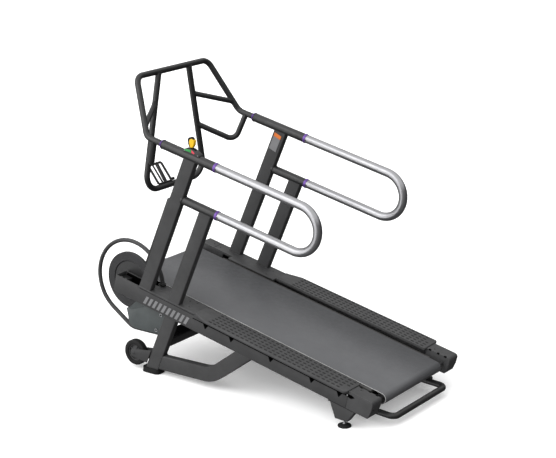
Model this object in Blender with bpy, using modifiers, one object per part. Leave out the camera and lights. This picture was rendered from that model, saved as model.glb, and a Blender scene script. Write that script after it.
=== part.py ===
"""Flat-belt manual treadmill with a front flywheel, as an assembly of separate pieces.

Metres, +Z up. The user faces -X, so the left side is at negative Y. The machine stands on z = 0 and
its box is centred on the origin in X and Y. Sizes are set by the driving dimensions below. Points are
written in the frame of the empty "base", whose x = 0 is the middle of the walking deck.
"""

from math import asin, atan2, cos, pi, radians, sin, tan

import bmesh
import bpy
from mathutils import Vector

# ---------------------------------------------------------------- driving dimensions
GAP = 0.0003
BASE_SHIFT = 0.0448

INCLINE = radians(11.7)
DECK_HEIGHT = 0.3566
RAIL_FRONT = -0.800
RAIL_REAR = 0.7545
RAIL_DEPTH = 0.096
RAIL_OUTER = 0.417
RAIL_INNER = 0.331
SHEET = 0.004
COVER_THICK = 0.010
COVER_INNER = 0.290
TREAD_START = -0.245
TREAD_OUTER = 0.446
TREAD_INNER = 0.309
CAP_REAR = 0.902
TREAD_RISE = 0.005
WELL_REAR = -0.640

FRONT_AXLE = Vector((-0.762, 0.0, 0.4645))
REAR_AXLE = Vector((0.834, 0.0, 0.138))
FRONT_BELT_R = 0.0435
REAR_BELT_R = 0.031
BELT_THICK = 0.004
BELT_HALF = 0.2694
ROLLER_HALF = 0.262
SHAFT_R = 0.0125
REAR_SHAFT_R = 0.009

FLYWHEEL_Y = -0.318
FLYWHEEL_R = 0.160
FLYWHEEL_THICK = 0.019
FLYWHEEL_RIM = 0.112
GUARD_Y = -0.308
GUARD_CENTRE = (-0.772, 0.458)
GUARD_R = 0.228
GUARD_TUBE_R = 0.0115

POST_Y = 0.396
POST_WIDE = 0.038
POST_DEEP = 0.079
POST_LEAN = radians(23.1)
FRONT_POST = Vector((-0.4205, 0.0, 0.860))
REAR_POST = Vector((-0.2735, 0.0, 0.704))
LEG = Vector((-0.478, 0.0, 0.183))

HAND_Y = 0.396
HAND_SLOPE = radians(11.9)
GRIP_R = 0.0245
RAIL_TUBE_R = 0.0235
UPPER_RING = Vector((-0.097, 0.0, 1.215))
LOWER_RING = Vector((-0.092, 0.0, 0.962))
FRONT_RING_X = -0.452
RING_HALF = 0.0075
LOOP_CENTRE_X = 0.4075

FRAME_TUBE_R = 0.0165
BRACE_TUBE_R = 0.0145
HOOK_TUBE_R = 0.0155
TOP_CORNER = Vector((-0.7032, 0.298, 1.5993))
FRAME_BEND_X = -0.556
INNER_TOP = Vector((-0.6957, 0.1275, 1.5847))
INNER_BOTTOM = Vector((-0.6997, 0.257, 0.9587))

WHEEL_HUB = Vector((-0.668, 0.0, 0.090))
WHEEL_R = 0.070
WHEEL_HALF = 0.017
FOOT = Vector((0.703, 0.396, 0.0))

HANDLE_TUBE_R = 0.0165
HANDLE_REAR = 0.905
HANDLE_Y = 0.2495
HANDLE_Z = 0.049

# ---------------------------------------------------------------- scene, collections, materials
for old in list(bpy.data.objects):
    bpy.data.objects.remove(old, do_unlink=True)

PARTS = bpy.data.collections.new("treadmill")
CUTTERS = bpy.data.collections.new("cutters")
for group in (PARTS, CUTTERS):
    bpy.context.scene.collection.children.link(group)


def empty(name, location=(0, 0, 0), tilt=0.0, parent=None):
    """A parent frame, turned by tilt about +Y."""
    obj = bpy.data.objects.new(name, None)
    obj.location = location
    obj.rotation_euler = (0, tilt, 0)
    obj.parent = parent
    PARTS.objects.link(obj)
    return obj


BASE = empty("base", (BASE_SHIFT, 0, 0))
DECK = empty("deck_plane", (0, 0, DECK_HEIGHT), INCLINE, BASE)


def finish(name, colour, roughness, metallic):
    """A Principled material."""
    made = bpy.data.materials.new(name)
    made.use_nodes = True
    shader = made.node_tree.nodes["Principled BSDF"]
    shader.inputs["Base Color"].default_value = (*colour, 1.0)
    shader.inputs["Roughness"].default_value = roughness
    shader.inputs["Metallic"].default_value = metallic
    return made


PAINT = finish("grey_paint", (0.07, 0.07, 0.072), 0.45, 0.0)
BLACK_PAINT = finish("black_paint", (0.02, 0.02, 0.021), 0.4, 0.0)
PLASTIC = finish("grey_plastic", (0.09, 0.09, 0.092), 0.55, 0.0)
BELT_RUBBER = finish("belt_rubber", (0.115, 0.12, 0.125), 0.75, 0.0)
RUBBER = finish("black_rubber", (0.018, 0.018, 0.018), 0.8, 0.0)
STEEL = finish("satin_steel", (0.62, 0.62, 0.63), 0.3, 1.0)
PURPLE = finish("purple_anodised", (0.16, 0.08, 0.36), 0.35, 0.5)
CAST = finish("flywheel_iron", (0.08, 0.08, 0.085), 0.4, 0.6)
TEAL = finish("brake_cover", (0.10, 0.12, 0.122), 0.5, 0.2)
BOARD = finish("deck_laminate", (0.12, 0.12, 0.12), 0.6, 0.0)
YELLOW = finish("yellow_plastic", (0.83, 0.55, 0.02), 0.4, 0.0)


# ---------------------------------------------------------------- modelling helpers
def link(obj, material=None, parent=None):
    """Put an object in the model, or, with no material, among the cutters."""
    obj.parent = parent or BASE
    if material:
        obj.data.materials.append(material)
        PARTS.objects.link(obj)
    else:
        CUTTERS.objects.link(obj)
        obj.hide_render = True
        obj.display_type = "WIRE"
    return obj


def primitive(name, build, material=None, parent=None, at=(0, 0, 0), turn=(0, 0, 0)):
    """A mesh object from a bmesh primitive."""
    mesh = bpy.data.meshes.new(name)
    work = bmesh.new()
    build(work)
    work.to_mesh(mesh)
    work.free()
    obj = bpy.data.objects.new(name, mesh)
    obj.location = at
    obj.rotation_euler = turn
    return link(obj, material, parent)


def box(name, size, at, material=None, parent=None, turn=(0, 0, 0), edge=0.0):
    """A block centred at a point, with rounded edges if edge is given."""

    def build(work):
        bmesh.ops.create_cube(work, size=1.0)
        bmesh.ops.scale(work, vec=size, verts=work.verts)

    obj = primitive(name, build, material, parent, at, turn)
    if edge:
        bevel(obj, edge)
    return obj


def rod(name, radius, length, at, material=None, parent=None, turn=(pi / 2, 0, 0), sides=32):
    """A round bar centred at a point. It lies along Y unless it is turned otherwise."""

    def build(work):
        bmesh.ops.create_cone(
            work, cap_ends=True, segments=sides, radius1=radius, radius2=radius, depth=length
        )

    return primitive(name, build, material, parent, at, turn)


def bevel(obj, width, segments=2, angle=radians(40)):
    """Rounded edges."""
    made = obj.modifiers.new("edges", "BEVEL")
    made.width = width
    made.segments = segments
    made.limit_method = "ANGLE"
    made.angle_limit = angle


def carve(obj, *cutters):
    """Cut each cutter out of an object."""
    for cutter in cutters:
        boolean(obj, cutter, "DIFFERENCE")


def join(obj, *others):
    """Weld other solids onto an object."""
    for other in others:
        boolean(obj, other, "UNION")


def boolean(obj, other, operation):
    made = obj.modifiers.new(operation.lower(), "BOOLEAN")
    made.operation = operation
    made.solver = "EXACT"
    made.object = other


def solid(curve):
    """The curve object as a welded mesh object in the same place."""
    graph = bpy.context.evaluated_depsgraph_get()
    mesh = bpy.data.meshes.new_from_object(curve.evaluated_get(graph))
    work = bmesh.new()
    work.from_mesh(mesh)
    bmesh.ops.remove_doubles(work, verts=work.verts, dist=0.00001)
    bmesh.ops.recalc_face_normals(work, faces=work.faces)
    work.to_mesh(mesh)
    work.free()
    name = curve.name
    place = curve.matrix_world.copy()
    collection = curve.users_collection[0]
    parent = curve.parent
    bpy.data.objects.remove(curve, do_unlink=True)
    obj = bpy.data.objects.new(name, mesh)
    collection.objects.link(obj)
    obj.parent = parent
    obj.matrix_world = place
    if collection == CUTTERS:
        obj.hide_render = True
        obj.display_type = "WIRE"
    return obj


def spline(data, points, cyclic):
    made = data.splines.new("POLY")
    made.points.add(len(points) - 1)
    for slot, point in zip(made.points, points):
        slot.co = (*point, 1.0)
    made.use_cyclic_u = cyclic


def tube(name, path, radius, material=None, parent=None, resolution=4):
    """A round tube along a path."""
    data = bpy.data.curves.new(name, "CURVE")
    data.dimensions = "3D"
    data.bevel_depth = radius
    data.bevel_resolution = resolution
    data.use_fill_caps = True
    spline(data, path, False)
    return link(bpy.data.objects.new(name, data), material, parent)


FACING_SIDE = (pi / 2, 0, 0)
FACING_END = (pi / 2, 0, pi / 2)


def slab(name, outline, thick, at=(0, 0, 0), material=None, parent=None, turn=FACING_SIDE, holes=()):
    """A flat outline with a thickness, as a welded mesh.

    Turned FACING_SIDE the outline's x, y are X, Z. Turned FACING_END they are Y, Z.
    """
    data = bpy.data.curves.new(name, "CURVE")
    data.dimensions = "2D"
    data.fill_mode = "BOTH"
    data.extrude = thick / 2
    for loop in (outline, *holes):
        spline(data, [(x, y, 0) for x, y in loop], True)
    obj = link(bpy.data.objects.new(name, data), material, parent)
    obj.location = at
    obj.rotation_euler = turn
    bpy.context.view_layer.update()
    return solid(obj)


def turned(name, profile, at, material=None, parent=None, turn=(pi / 2, 0, 0), steps=32, closed=False):
    """A turned piece. The profile is (radius, height) pairs, from the top of the outer side down."""
    mesh = bpy.data.meshes.new(name)
    work = bmesh.new()
    ring = [work.verts.new((radius, 0, height)) for radius, height in profile]
    for first, second in zip(ring, ring[1:]):
        work.edges.new((first, second))
    if closed:
        work.edges.new((ring[-1], ring[0]))
    work.to_mesh(mesh)
    work.free()
    obj = bpy.data.objects.new(name, mesh)
    screw = obj.modifiers.new("turn", "SCREW")
    screw.axis = "Z"
    screw.steps = steps
    screw.render_steps = steps
    screw.use_merge_vertices = True
    screw.merge_threshold = 0.0001
    obj.location = at
    obj.rotation_euler = turn
    return link(obj, material, parent)


def arc(centre, radius, start, end, steps):
    """Points (x, z) round a centre, angles in degrees from +X towards +Z."""
    turn = [radians(start + (end - start) * i / steps) for i in range(steps + 1)]
    return [(centre[0] + radius * cos(a), centre[1] + radius * sin(a)) for a in turn]


def bent(corners, radius, steps=6):
    """A path through corners, each rounded to a bend radius."""
    corners = [Vector(c) for c in corners]
    radii = [radius] * len(corners) if isinstance(radius, float) else [0, *radius, 0]
    path = [corners[0]]
    for i in range(1, len(corners) - 1):
        into = (corners[i] - corners[i - 1]).normalized()
        out = (corners[i + 1] - corners[i]).normalized()
        turn = into.angle(out)
        side = (out - into * into.dot(out)).normalized()
        start = corners[i] - into * radii[i] * tan(turn / 2)
        for k in range(steps + 1):
            a = turn * k / steps
            path.append(start + side * radii[i] * (1 - cos(a)) + into * radii[i] * sin(a))
    path.append(corners[-1])
    return path


def shift_y(point, y):
    return Vector((point.x, y, point.z))


def on_post(post, z):
    """The x of a leaning post's centre line at a height."""
    return post.x + (z - post.z) * tan(POST_LEAN)


def hand_line(ring, x):
    """The height of a handrail's centre line at x."""
    return ring.z - (x - ring.x) * tan(HAND_SLOPE)


def deck_z(x):
    """The height of the deck plane at x."""
    return DECK_HEIGHT - x * tan(INCLINE)


SIDES = (("left", -1), ("right", 1))


# ---------------------------------------------------------------- side rails, covers, treads, caps
def side_rail(side, way):
    """A folded sheet channel, open inwards, with a bearing well at the front and cut-outs in its web."""
    top = -COVER_THICK - GAP
    section = [
        (RAIL_OUTER, top), (RAIL_INNER, top), (RAIL_INNER, top - SHEET), (RAIL_OUTER - SHEET, top - SHEET),
        (RAIL_OUTER - SHEET, -RAIL_DEPTH + SHEET), (RAIL_INNER, -RAIL_DEPTH + SHEET),
        (RAIL_INNER, -RAIL_DEPTH), (RAIL_OUTER, -RAIL_DEPTH),
    ]
    section = [(y * way, z) for y, z in section]
    middle = (RAIL_FRONT + RAIL_REAR) / 2
    rail = slab(
        f"side_rail_{side}", section, RAIL_REAR - RAIL_FRONT, (middle, 0, 0), PAINT, DECK, FACING_END
    )
    well = (WELL_REAR + RAIL_FRONT) / 2
    length = WELL_REAR - RAIL_FRONT
    lip = -0.0005 if side == "left" else top - 0.0005
    high = lip + RAIL_DEPTH - 0.001
    inner_y = way * (RAIL_INNER + SHEET / 2 - 0.0005)
    outer_y = way * (RAIL_OUTER - SHEET / 2 - 0.0002)
    middle_z = lip - high / 2
    end = (SHEET, RAIL_OUTER - RAIL_INNER - 0.002, high)
    end_at = (RAIL_FRONT + SHEET / 2 + 0.0007, way * (RAIL_OUTER + RAIL_INNER) / 2, middle_z)
    wall = (length - 0.002, SHEET, high)
    join(
        rail, box(f"well_wall_{side}", wall, (well, inner_y, middle_z), None, DECK),
        box(f"well_front_{side}", end, end_at, None, DECK),
    )
    if side == "left":
        join(rail, box(f"well_rim_{side}", wall, (well, outer_y, middle_z), None, DECK))
        mouth = box(
            f"well_mouth_{side}", (length - 0.012, RAIL_OUTER - RAIL_INNER - 2 * SHEET - 0.002, 0.04),
            (well, way * (RAIL_OUTER + RAIL_INNER) / 2, top), None, DECK,
        )
        carve(rail, mouth)
    axle = rod(f"axle_hole_{side}", SHAFT_R + 0.002, 0.03, shift_y(FRONT_AXLE, way * RAIL_INNER))
    carve(rail, axle)
    for i, x in enumerate((-0.158, 0.012, 0.266, 0.522, 0.690)):
        half = 0.014
        depth = 0.025
        s = x / cos(INCLINE)
        notch = [(s - half, top - 0.004), (s + half, top - 0.004), (s, top - 0.004 - depth)]
        carve(rail, slab(f"vent_{side}_{i}", notch, 0.02, (0, way * RAIL_OUTER, 0), None, DECK))


def front_cover(side, way):
    """The smooth plate over the front of a side rail. The left one stops behind the bearing well."""
    front = WELL_REAR if side == "left" else RAIL_FRONT - 0.006
    length = TREAD_START - GAP - front
    wide = RAIL_OUTER - COVER_INNER
    plate = box(
        f"front_cover_{side}", (length, wide, COVER_THICK),
        (front + length / 2, way * (RAIL_OUTER + COVER_INNER) / 2, -COVER_THICK / 2), PLASTIC, DECK,
        edge=0.002,
    )
    inner = COVER_INNER - 0.02
    corner = [(front - 0.05, inner), (-0.572, inner), (-0.572, RAIL_INNER), (front - 0.05, RAIL_INNER)]
    corner = [(x, y * way) for x, y in corner]
    carve(plate, slab(f"cover_corner_{side}", corner, 0.05, (0, 0, 0), None, DECK, (0, 0, 0)))


def tread_strip(side, way):
    """The foot rest beside the belt, wider than the rail with a thin lip outside it."""
    rear = RAIL_REAR + 0.0007
    outline = [
        (TREAD_START, TREAD_INNER), (rear, TREAD_INNER), (rear, TREAD_OUTER - 0.012),
        (rear - 0.012, TREAD_OUTER), (TREAD_START + 0.090, TREAD_OUTER),
        (TREAD_START + 0.012, RAIL_OUTER), (TREAD_START, RAIL_OUTER),
    ]
    outline = [(x, y * way) for x, y in outline]
    strip = slab(
        f"tread_strip_{side}", outline, COVER_THICK + TREAD_RISE, (0, 0, (TREAD_RISE - COVER_THICK) / 2),
        PLASTIC, DECK, (0, 0, 0),
    )
    bevel(strip, 0.0025, 1)


def end_cap(side, way):
    """The moulded block at the rear of a rail, which carries the rear roller."""
    front = RAIL_REAR + 0.001
    deep = RAIL_DEPTH + 0.001
    corner = 0.018
    tuck = 0.010
    outline = [(front, 0), (front, -deep), (CAP_REAR - tuck - 0.010, -deep)]
    outline += arc((CAP_REAR - tuck - 0.010, -deep + 0.010), 0.010, -60, 0, 3)
    outline += [(CAP_REAR - 0.001, -deep * 0.5)]
    outline += arc((CAP_REAR - corner, -corner), corner, 0, 90, 5)
    wide = RAIL_OUTER - RAIL_INNER
    cap = slab(f"end_cap_{side}", outline, wide, (0, way * (RAIL_OUTER + RAIL_INNER) / 2, 0), PLASTIC, DECK)
    bevel(cap, 0.0025, 1)
    seat = rod(
        f"rear_seat_{side}", REAR_SHAFT_R + GAP, 0.06, shift_y(REAR_AXLE, way * RAIL_INNER)
    )
    carve(cap, seat)


for side, way in SIDES:
    side_rail(side, way)
    front_cover(side, way)
    tread_strip(side, way)
    end_cap(side, way)


# ---------------------------------------------------------------- belt, deck and rollers
AXLE_LINE = REAR_AXLE - FRONT_AXLE
AXLE_SLOPE = atan2(-AXLE_LINE.z, AXLE_LINE.x)
TAPER = asin((FRONT_BELT_R - REAR_BELT_R) / AXLE_LINE.length)


def belt_outline(inset):
    """The belt's loop round both rollers, inset from its outer face."""
    top = 90 - (AXLE_SLOPE + TAPER) * 180 / pi
    low = 270 - (AXLE_SLOPE - TAPER) * 180 / pi
    front = arc((FRONT_AXLE.x, FRONT_AXLE.z), FRONT_BELT_R - inset, top, low, 14)
    rear = arc((REAR_AXLE.x, REAR_AXLE.z), REAR_BELT_R - inset, low - 360, top, 14)
    return front + rear


slab("running_belt", belt_outline(0), 2 * BELT_HALF, (0, 0, 0), BELT_RUBBER, holes=[belt_outline(BELT_THICK)])

BELT_TILT = AXLE_SLOPE + TAPER
TOP_RUN = empty(
    "belt_run",
    FRONT_AXLE + Vector((sin(BELT_TILT), 0, cos(BELT_TILT))) * (FRONT_BELT_R - BELT_THICK),
    BELT_TILT,
    BASE,
)
BOARD_THICK = 0.018
BOARD_FRONT = 0.165
BOARD_REAR = 1.575
box(
    "deck_board", (BOARD_REAR - BOARD_FRONT, 2 * COVER_INNER - 0.001, BOARD_THICK),
    ((BOARD_FRONT + BOARD_REAR) / 2, 0, -BOARD_THICK / 2 - GAP), BOARD, TOP_RUN, edge=0.002,
)
BAR_HIGH = 0.020
BAR_Z = -BOARD_THICK - 2 * GAP - BAR_HIGH / 2
FRONT_BAR = 0.42
REAR_BAR = 1.22
frame_bar = box("deck_frame", (0.040, 0.640, BAR_HIGH), (FRONT_BAR, 0, BAR_Z), BLACK_PAINT, TOP_RUN)
join(
    frame_bar,
    box("frame_bar_rear", (0.040, 0.640, BAR_HIGH), (REAR_BAR, 0, BAR_Z), None, TOP_RUN),
    box(
        "frame_spine", (REAR_BAR - FRONT_BAR, 0.030, BAR_HIGH - 0.004),
        ((FRONT_BAR + REAR_BAR) / 2, 0, BAR_Z), None, TOP_RUN,
    ),
)


def roller(name, axle, drum_r, shaft_r, shaft_half):
    """A drum on its shaft, about the axle's Y line."""
    profile = [
        (0, shaft_half), (shaft_r, shaft_half), (shaft_r, ROLLER_HALF), (drum_r, ROLLER_HALF),
        (drum_r, -ROLLER_HALF), (shaft_r, -ROLLER_HALF), (shaft_r, -shaft_half), (0, -shaft_half),
    ]
    turned(name, profile, axle, STEEL)


roller("front_roller", FRONT_AXLE, FRONT_BELT_R - BELT_THICK - 0.0005, SHAFT_R, 0.405)
roller("rear_roller", REAR_AXLE, REAR_BELT_R - BELT_THICK - 0.0005, REAR_SHAFT_R, 0.345)

half = FLYWHEEL_THICK / 2
web = 0.004
turned(
    "flywheel",
    [
        (SHAFT_R + GAP, half), (0.032, half), (0.032, web), (FLYWHEEL_RIM, web), (FLYWHEEL_RIM, half),
        (FLYWHEEL_R, half), (FLYWHEEL_R, -half), (FLYWHEEL_RIM, -half), (FLYWHEEL_RIM, -web), (0.032, -web),
        (0.032, -half), (SHAFT_R + GAP, -half),
    ],
    shift_y(FRONT_AXLE, FLYWHEEL_Y), CAST, steps=48, closed=True,
)

for side, way in SIDES:
    block = box(
        f"front_bearing_{side}", (0.052, 0.070, 0.060),
        (FRONT_AXLE.x, way * (RAIL_OUTER + RAIL_INNER) / 2, FRONT_AXLE.z), BLACK_PAINT, None,
        (0, INCLINE, 0), 0.004,
    )
    carve(block, rod(
        f"bearing_bore_{side}", SHAFT_R + GAP, 0.080,
        shift_y(FRONT_AXLE, way * ((RAIL_OUTER + RAIL_INNER) / 2 - 0.009)),
    ))


# ---------------------------------------------------------------- posts, legs and braces
HAND_TURN = (0, HAND_SLOPE, 0)


def leaning(name, post, y, length, material=None, grow=0.0):
    """A leaning rectangular post centred on its reference point."""
    return box(
        name, (POST_DEEP + grow, POST_WIDE + grow, length), shift_y(post, y), material, None,
        (0, POST_LEAN, 0), 0.0 if grow else 0.006,
    )


def below_deck(name, y):
    """A cutter that holds everything from the deck plane down to the rail's underside."""
    return box(name, (2.4, 0.14, RAIL_DEPTH + 2 * GAP), (0, y, -RAIL_DEPTH / 2), None, DECK)


def above_hand(name, ring, y, drop):
    """A cutter that holds everything above a handrail's axis less a drop."""
    deep = 0.20
    at = Vector((ring.x, y, ring.z)) + Vector((sin(HAND_SLOPE), 0, cos(HAND_SLOPE))) * (deep / 2 - drop)
    return box(name, (1.2, 0.12, deep), at, None, None, HAND_TURN)


def hand_rod(name, ring, radius, y):
    """A cutter as thick as a handrail and its clearance."""
    return rod(name, radius + GAP, 1.4, shift_y(ring, y), None, None, (0, HAND_SLOPE + pi / 2, 0), 48)


for side, way in SIDES:
    y = way * POST_Y
    hand_y = way * HAND_Y
    rail_zone = below_deck(f"rail_zone_{side}", y)

    front_post = leaning(f"front_post_{side}", FRONT_POST, y, 0.98, PAINT)
    carve(
        front_post, rail_zone, box(f"front_floor_{side}", (1.0, 0.12, 0.4), (-0.6, y, 0.10)),
        above_hand(f"over_grip_{side}", UPPER_RING, hand_y, 0.013),
        hand_rod(f"grip_rod_{side}", UPPER_RING, GRIP_R, hand_y),
    )
    rear_post = leaning(f"rear_post_{side}", REAR_POST, y, 0.72, PAINT)
    carve(
        rear_post, rail_zone, box(f"rear_floor_{side}", (1.0, 0.12, 0.28), (-0.4, y, 0.20)),
        above_hand(f"over_rail_{side}", LOWER_RING, hand_y, 0.013),
        hand_rod(f"rail_rod_{side}", LOWER_RING, RAIL_TUBE_R, hand_y),
    )
    leg = leaning(f"front_leg_{side}", LEG, y, 0.50, PAINT)
    pad_top = 0.028
    carve(
        leg, box(f"leg_ground_{side}", (0.4, 0.12, 0.1), (-0.55, y, pad_top + GAP - 0.05)),
        box(f"leg_roof_{side}", (0.6, 0.12, 0.2), (-0.42, y, -RAIL_DEPTH - GAP + 0.1), None, DECK),
    )
    box(
        f"foot_pad_{side}", (0.107, 0.066, pad_top), (-0.5535, way * 0.389, pad_top / 2), RUBBER, None,
        edge=0.007,
    )

    upper = bent([(-0.60, 0, 0.1135), (-0.146, 0, 0.1215), (0.318, 0, 0.475)], 0.12)
    lower = bent([(-0.60, 0, 0.0275), (-0.120, 0, 0.0405), (0.34, 0, 0.385)], 0.19)
    outline = [(p.x, p.z) for p in upper] + [(p.x, p.z) for p in reversed(lower)]
    brace = slab(f"brace_tube_{side}", outline, 0.042, (0, y, 0), PAINT)
    bevel(brace, 0.014, 3, radians(60))
    carve(
        brace, box(f"brace_roof_{side}", (1.6, 0.12, 0.4), (0.2, y, -RAIL_DEPTH - GAP + 0.2), None, DECK),
        box(f"brace_leg_{side}", (0.5, 0.12, 0.8), (
            LEG.x + (POST_DEEP / 2 + GAP) / cos(POST_LEAN) - 0.25 * cos(POST_LEAN), y,
            LEG.z + 0.25 * sin(POST_LEAN)), None, None, (0, POST_LEAN, 0)),
    )

box(
    "leg_cross_member", (0.070, 2 * (POST_Y - POST_WIDE / 2 - GAP), 0.065), (on_post(LEG, 0.200), 0, 0.200),
    BLACK_PAINT, None, (0, POST_LEAN, 0), 0.010,
)


# ---------------------------------------------------------------- handrails
def ring_point(ring, along, y):
    """A point on a handrail's axis, a distance behind its ring."""
    return Vector((ring.x + along * cos(HAND_SLOPE), y, ring.z - along * sin(HAND_SLOPE)))


ROD_TURN = (0, HAND_SLOPE + pi / 2, 0)
FRONT_RING = Vector((FRONT_RING_X, 0, hand_line(UPPER_RING, FRONT_RING_X)))


def collar(name, ring, y, front_r, rear_r):
    """A tapered ring between two tubes. Its axis is the handrail's."""
    half = RING_HALF - GAP
    profile = [(0, half), (rear_r - 0.001, half), (rear_r, half - 0.001), (front_r, -half + 0.001),
               (front_r - 0.001, -half), (0, -half)]
    turned(name, profile, shift_y(ring, y), PURPLE, None, ROD_TURN, 24)


for side, way in SIDES:
    y = way * HAND_Y
    span = (UPPER_RING - FRONT_RING).length
    tube(
        f"upper_grip_{side}",
        [ring_point(FRONT_RING, RING_HALF, y), ring_point(FRONT_RING, span - RING_HALF, y)],
        GRIP_R, BLACK_PAINT, None, 8,
    )
    lower_front = on_post(FRONT_POST, hand_line(LOWER_RING, -0.36)) + 0.028
    lower_rail = solid(tube(
        f"lower_rail_{side}",
        [Vector((lower_front, y, hand_line(LOWER_RING, lower_front))), ring_point(LOWER_RING, -RING_HALF, y)],
        RAIL_TUBE_R, BLACK_PAINT, None, 8,
    ))
    carve(lower_rail, leaning(f"post_socket_{side}", FRONT_POST, way * POST_Y, 1.0, None, 2 * GAP))

    middle = hand_line((UPPER_RING + LOWER_RING) / 2, LOOP_CENTRE_X)
    loop_r = (UPPER_RING - LOWER_RING).z * cos(HAND_SLOPE) / 2
    bow = arc((LOOP_CENTRE_X, middle), loop_r, 90 - 11.9, -90 - 11.9, 16)
    path = [ring_point(UPPER_RING, RING_HALF, y)]
    path += [Vector((x, y, z)) for x, z in bow]
    path += [ring_point(LOWER_RING, RING_HALF, y)]
    tube(f"steel_loop_{side}", path, RAIL_TUBE_R, STEEL, None, 5)

    collar(f"collar_front_{side}", FRONT_RING, y, 0.0185, 0.0265)
    collar(f"collar_upper_{side}", UPPER_RING, y, 0.0268, 0.0250)
    collar(f"collar_lower_{side}", LOWER_RING, y, 0.0268, 0.0250)


# ---------------------------------------------------------------- front frame above the handrails
def mirrored(path):
    """The path and its mirror image in Y, as one path from the left side to the right."""
    left = [Vector((p.x, -abs(p.y), p.z)) for p in path]
    right = [Vector((p.x, abs(p.y), p.z)) for p in reversed(path)]
    return left + right


BEND = Vector((FRAME_BEND_X, HAND_Y, hand_line(UPPER_RING, FRAME_BEND_X)))
START = ring_point(FRONT_RING, -RING_HALF, HAND_Y)
front_path = bent(mirrored([START, BEND, TOP_CORNER]), [0.055, 0.060, 0.060, 0.055])
inner_path = bent(mirrored([INNER_TOP + Vector((0, 0, 0.0085)), INNER_BOTTOM]), 0.085)
tube("front_loop", front_path, FRAME_TUBE_R, BLACK_PAINT)
around_front = solid(tube("around_front_loop", front_path, FRAME_TUBE_R + 2 * GAP))
around_inner = solid(tube("around_inner_loop", inner_path, FRAME_TUBE_R + 2 * GAP))
carve(solid(tube("inner_loop", inner_path, FRAME_TUBE_R, BLACK_PAINT)), around_front)


UPPER_BRACE_IN = Vector((-0.6967, 0.159, 1.4345))
UPPER_BRACE_OUT = Vector((-0.5823, 0.3790, 1.3640))
HOOK_IN = Vector((-0.6978, 0.196, 1.2545))
HOOK_BEND = Vector((-0.5617, 0.3621, 1.1465))
HOOK_OUT = Vector((-0.507, 0.396, hand_line(UPPER_RING, -0.507)))
for side, way in SIDES:
    flip = Vector((1, way, 1))
    strut = [UPPER_BRACE_IN * flip, UPPER_BRACE_OUT * flip]
    hook = bent([HOOK_IN * flip, HOOK_BEND * flip, HOOK_OUT * flip], 0.045)
    upper_brace = solid(tube(f"upper_brace_{side}", strut, BRACE_TUBE_R, BLACK_PAINT, None, 3))
    lower_brace = solid(tube(f"lower_brace_{side}", hook, HOOK_TUBE_R, BLACK_PAINT, None, 3))
    carve(upper_brace, around_front, around_inner)
    carve(lower_brace, around_front, around_inner)

# The small wire rack that leans forward from the inner loop's lower bar.
rack_low = Vector((-0.6997, -0.034, INNER_BOTTOM.z + FRAME_TUBE_R + 0.0053))
rack_top = Vector((-0.7647, -0.044, INNER_BOTTOM.z + 0.116))
rack_wide = Vector((0, -0.107, 0))
rack = solid(tube(
    "phone_rack",
    bent([rack_low, rack_top, rack_top + rack_wide, rack_low + rack_wide], 0.012, 3), 0.0048,
    BLACK_PAINT, None, 2,
))
foot_bar = solid(tube("rack_foot", [rack_low, rack_low + rack_wide], 0.0044, None, None, 2))
slope = rack_top - rack_low
bar_low = rack_low + rack_wide * 0.62
flat_low = rack_low + rack_wide * 0.38
bar = solid(tube("rack_bar", [bar_low, bar_low + slope], 0.0040, None, None, 2))
flat = solid(tube("rack_flat", [flat_low, flat_low + slope], 0.0074, None, None, 3))
knob = rod("rack_knob", 0.0082, 0.022, rack_low + Vector((0, 0.011, 0.0055)), sides=16)
join(rack, foot_bar, bar, flat, knob)


# ---------------------------------------------------------------- flywheel guard, brake and lever
def guard_path():
    """Over the flywheel from the deck, down the front and back under the brake to the cross member."""
    over = arc(GUARD_CENTRE, GUARD_R, 4.0, 200, 20)
    ring = [Vector((x, GUARD_Y, z)) for x, z in over]
    low = bent(
        [ring[-1], (-0.9306, GUARD_Y, 0.2941), (-0.7702, GUARD_Y, 0.188), (-0.5142, GUARD_Y, 0.192)],
        [0.100, 0.070],
    )
    return ring + low[1:]


tube("flywheel_guard", guard_path(), GUARD_TUBE_R, PAINT, None, 3)

BRAKE_Y = -0.323
BRAKE_WIDE = 0.094
LEG_FRONT = POST_DEEP / 2 / cos(POST_LEAN)
RAIL_UNDER = RAIL_DEPTH / cos(INCLINE)


def brake_outline(inset):
    """The side of the brake housing: round the flywheel's rim, under the rail, down the leg's front."""
    under = RAIL_UNDER + 0.002 + inset
    foot = 0.212 + inset
    points = arc((FRONT_AXLE.x, FRONT_AXLE.z), FLYWHEEL_R - 0.014 + inset, -89 + inset * 60, -34, 6)
    points += [(-0.625 + inset, deck_z(-0.625) - under)]
    corner = on_post(LEG, 0.345) - LEG_FRONT - 0.002 - inset
    points += [(corner, deck_z(corner) - under)]
    points += [(on_post(LEG, foot) - LEG_FRONT - 0.002 - inset, foot)]
    points += arc((-0.694, 0.266), 0.054 - inset, -90, -188, 4)
    return points


housing = slab("brake_housing", brake_outline(0.0), BRAKE_WIDE, (0, BRAKE_Y, 0), TEAL)
bevel(housing, 0.004, 2, radians(50))
hollow = slab("brake_hollow", brake_outline(0.0025), BRAKE_WIDE - 0.008, (0, BRAKE_Y, 0))
mouth = slab(
    "brake_mouth",
    arc((FRONT_AXLE.x, FRONT_AXLE.z), FLYWHEEL_R - 0.022, -110, -20, 10)
    + list(reversed(arc((FRONT_AXLE.x, FRONT_AXLE.z), FLYWHEEL_R + 0.030, -110, -20, 10))),
    0.046, (0, FLYWHEEL_Y, 0),
)
carve(housing, mouth, hollow)

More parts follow.
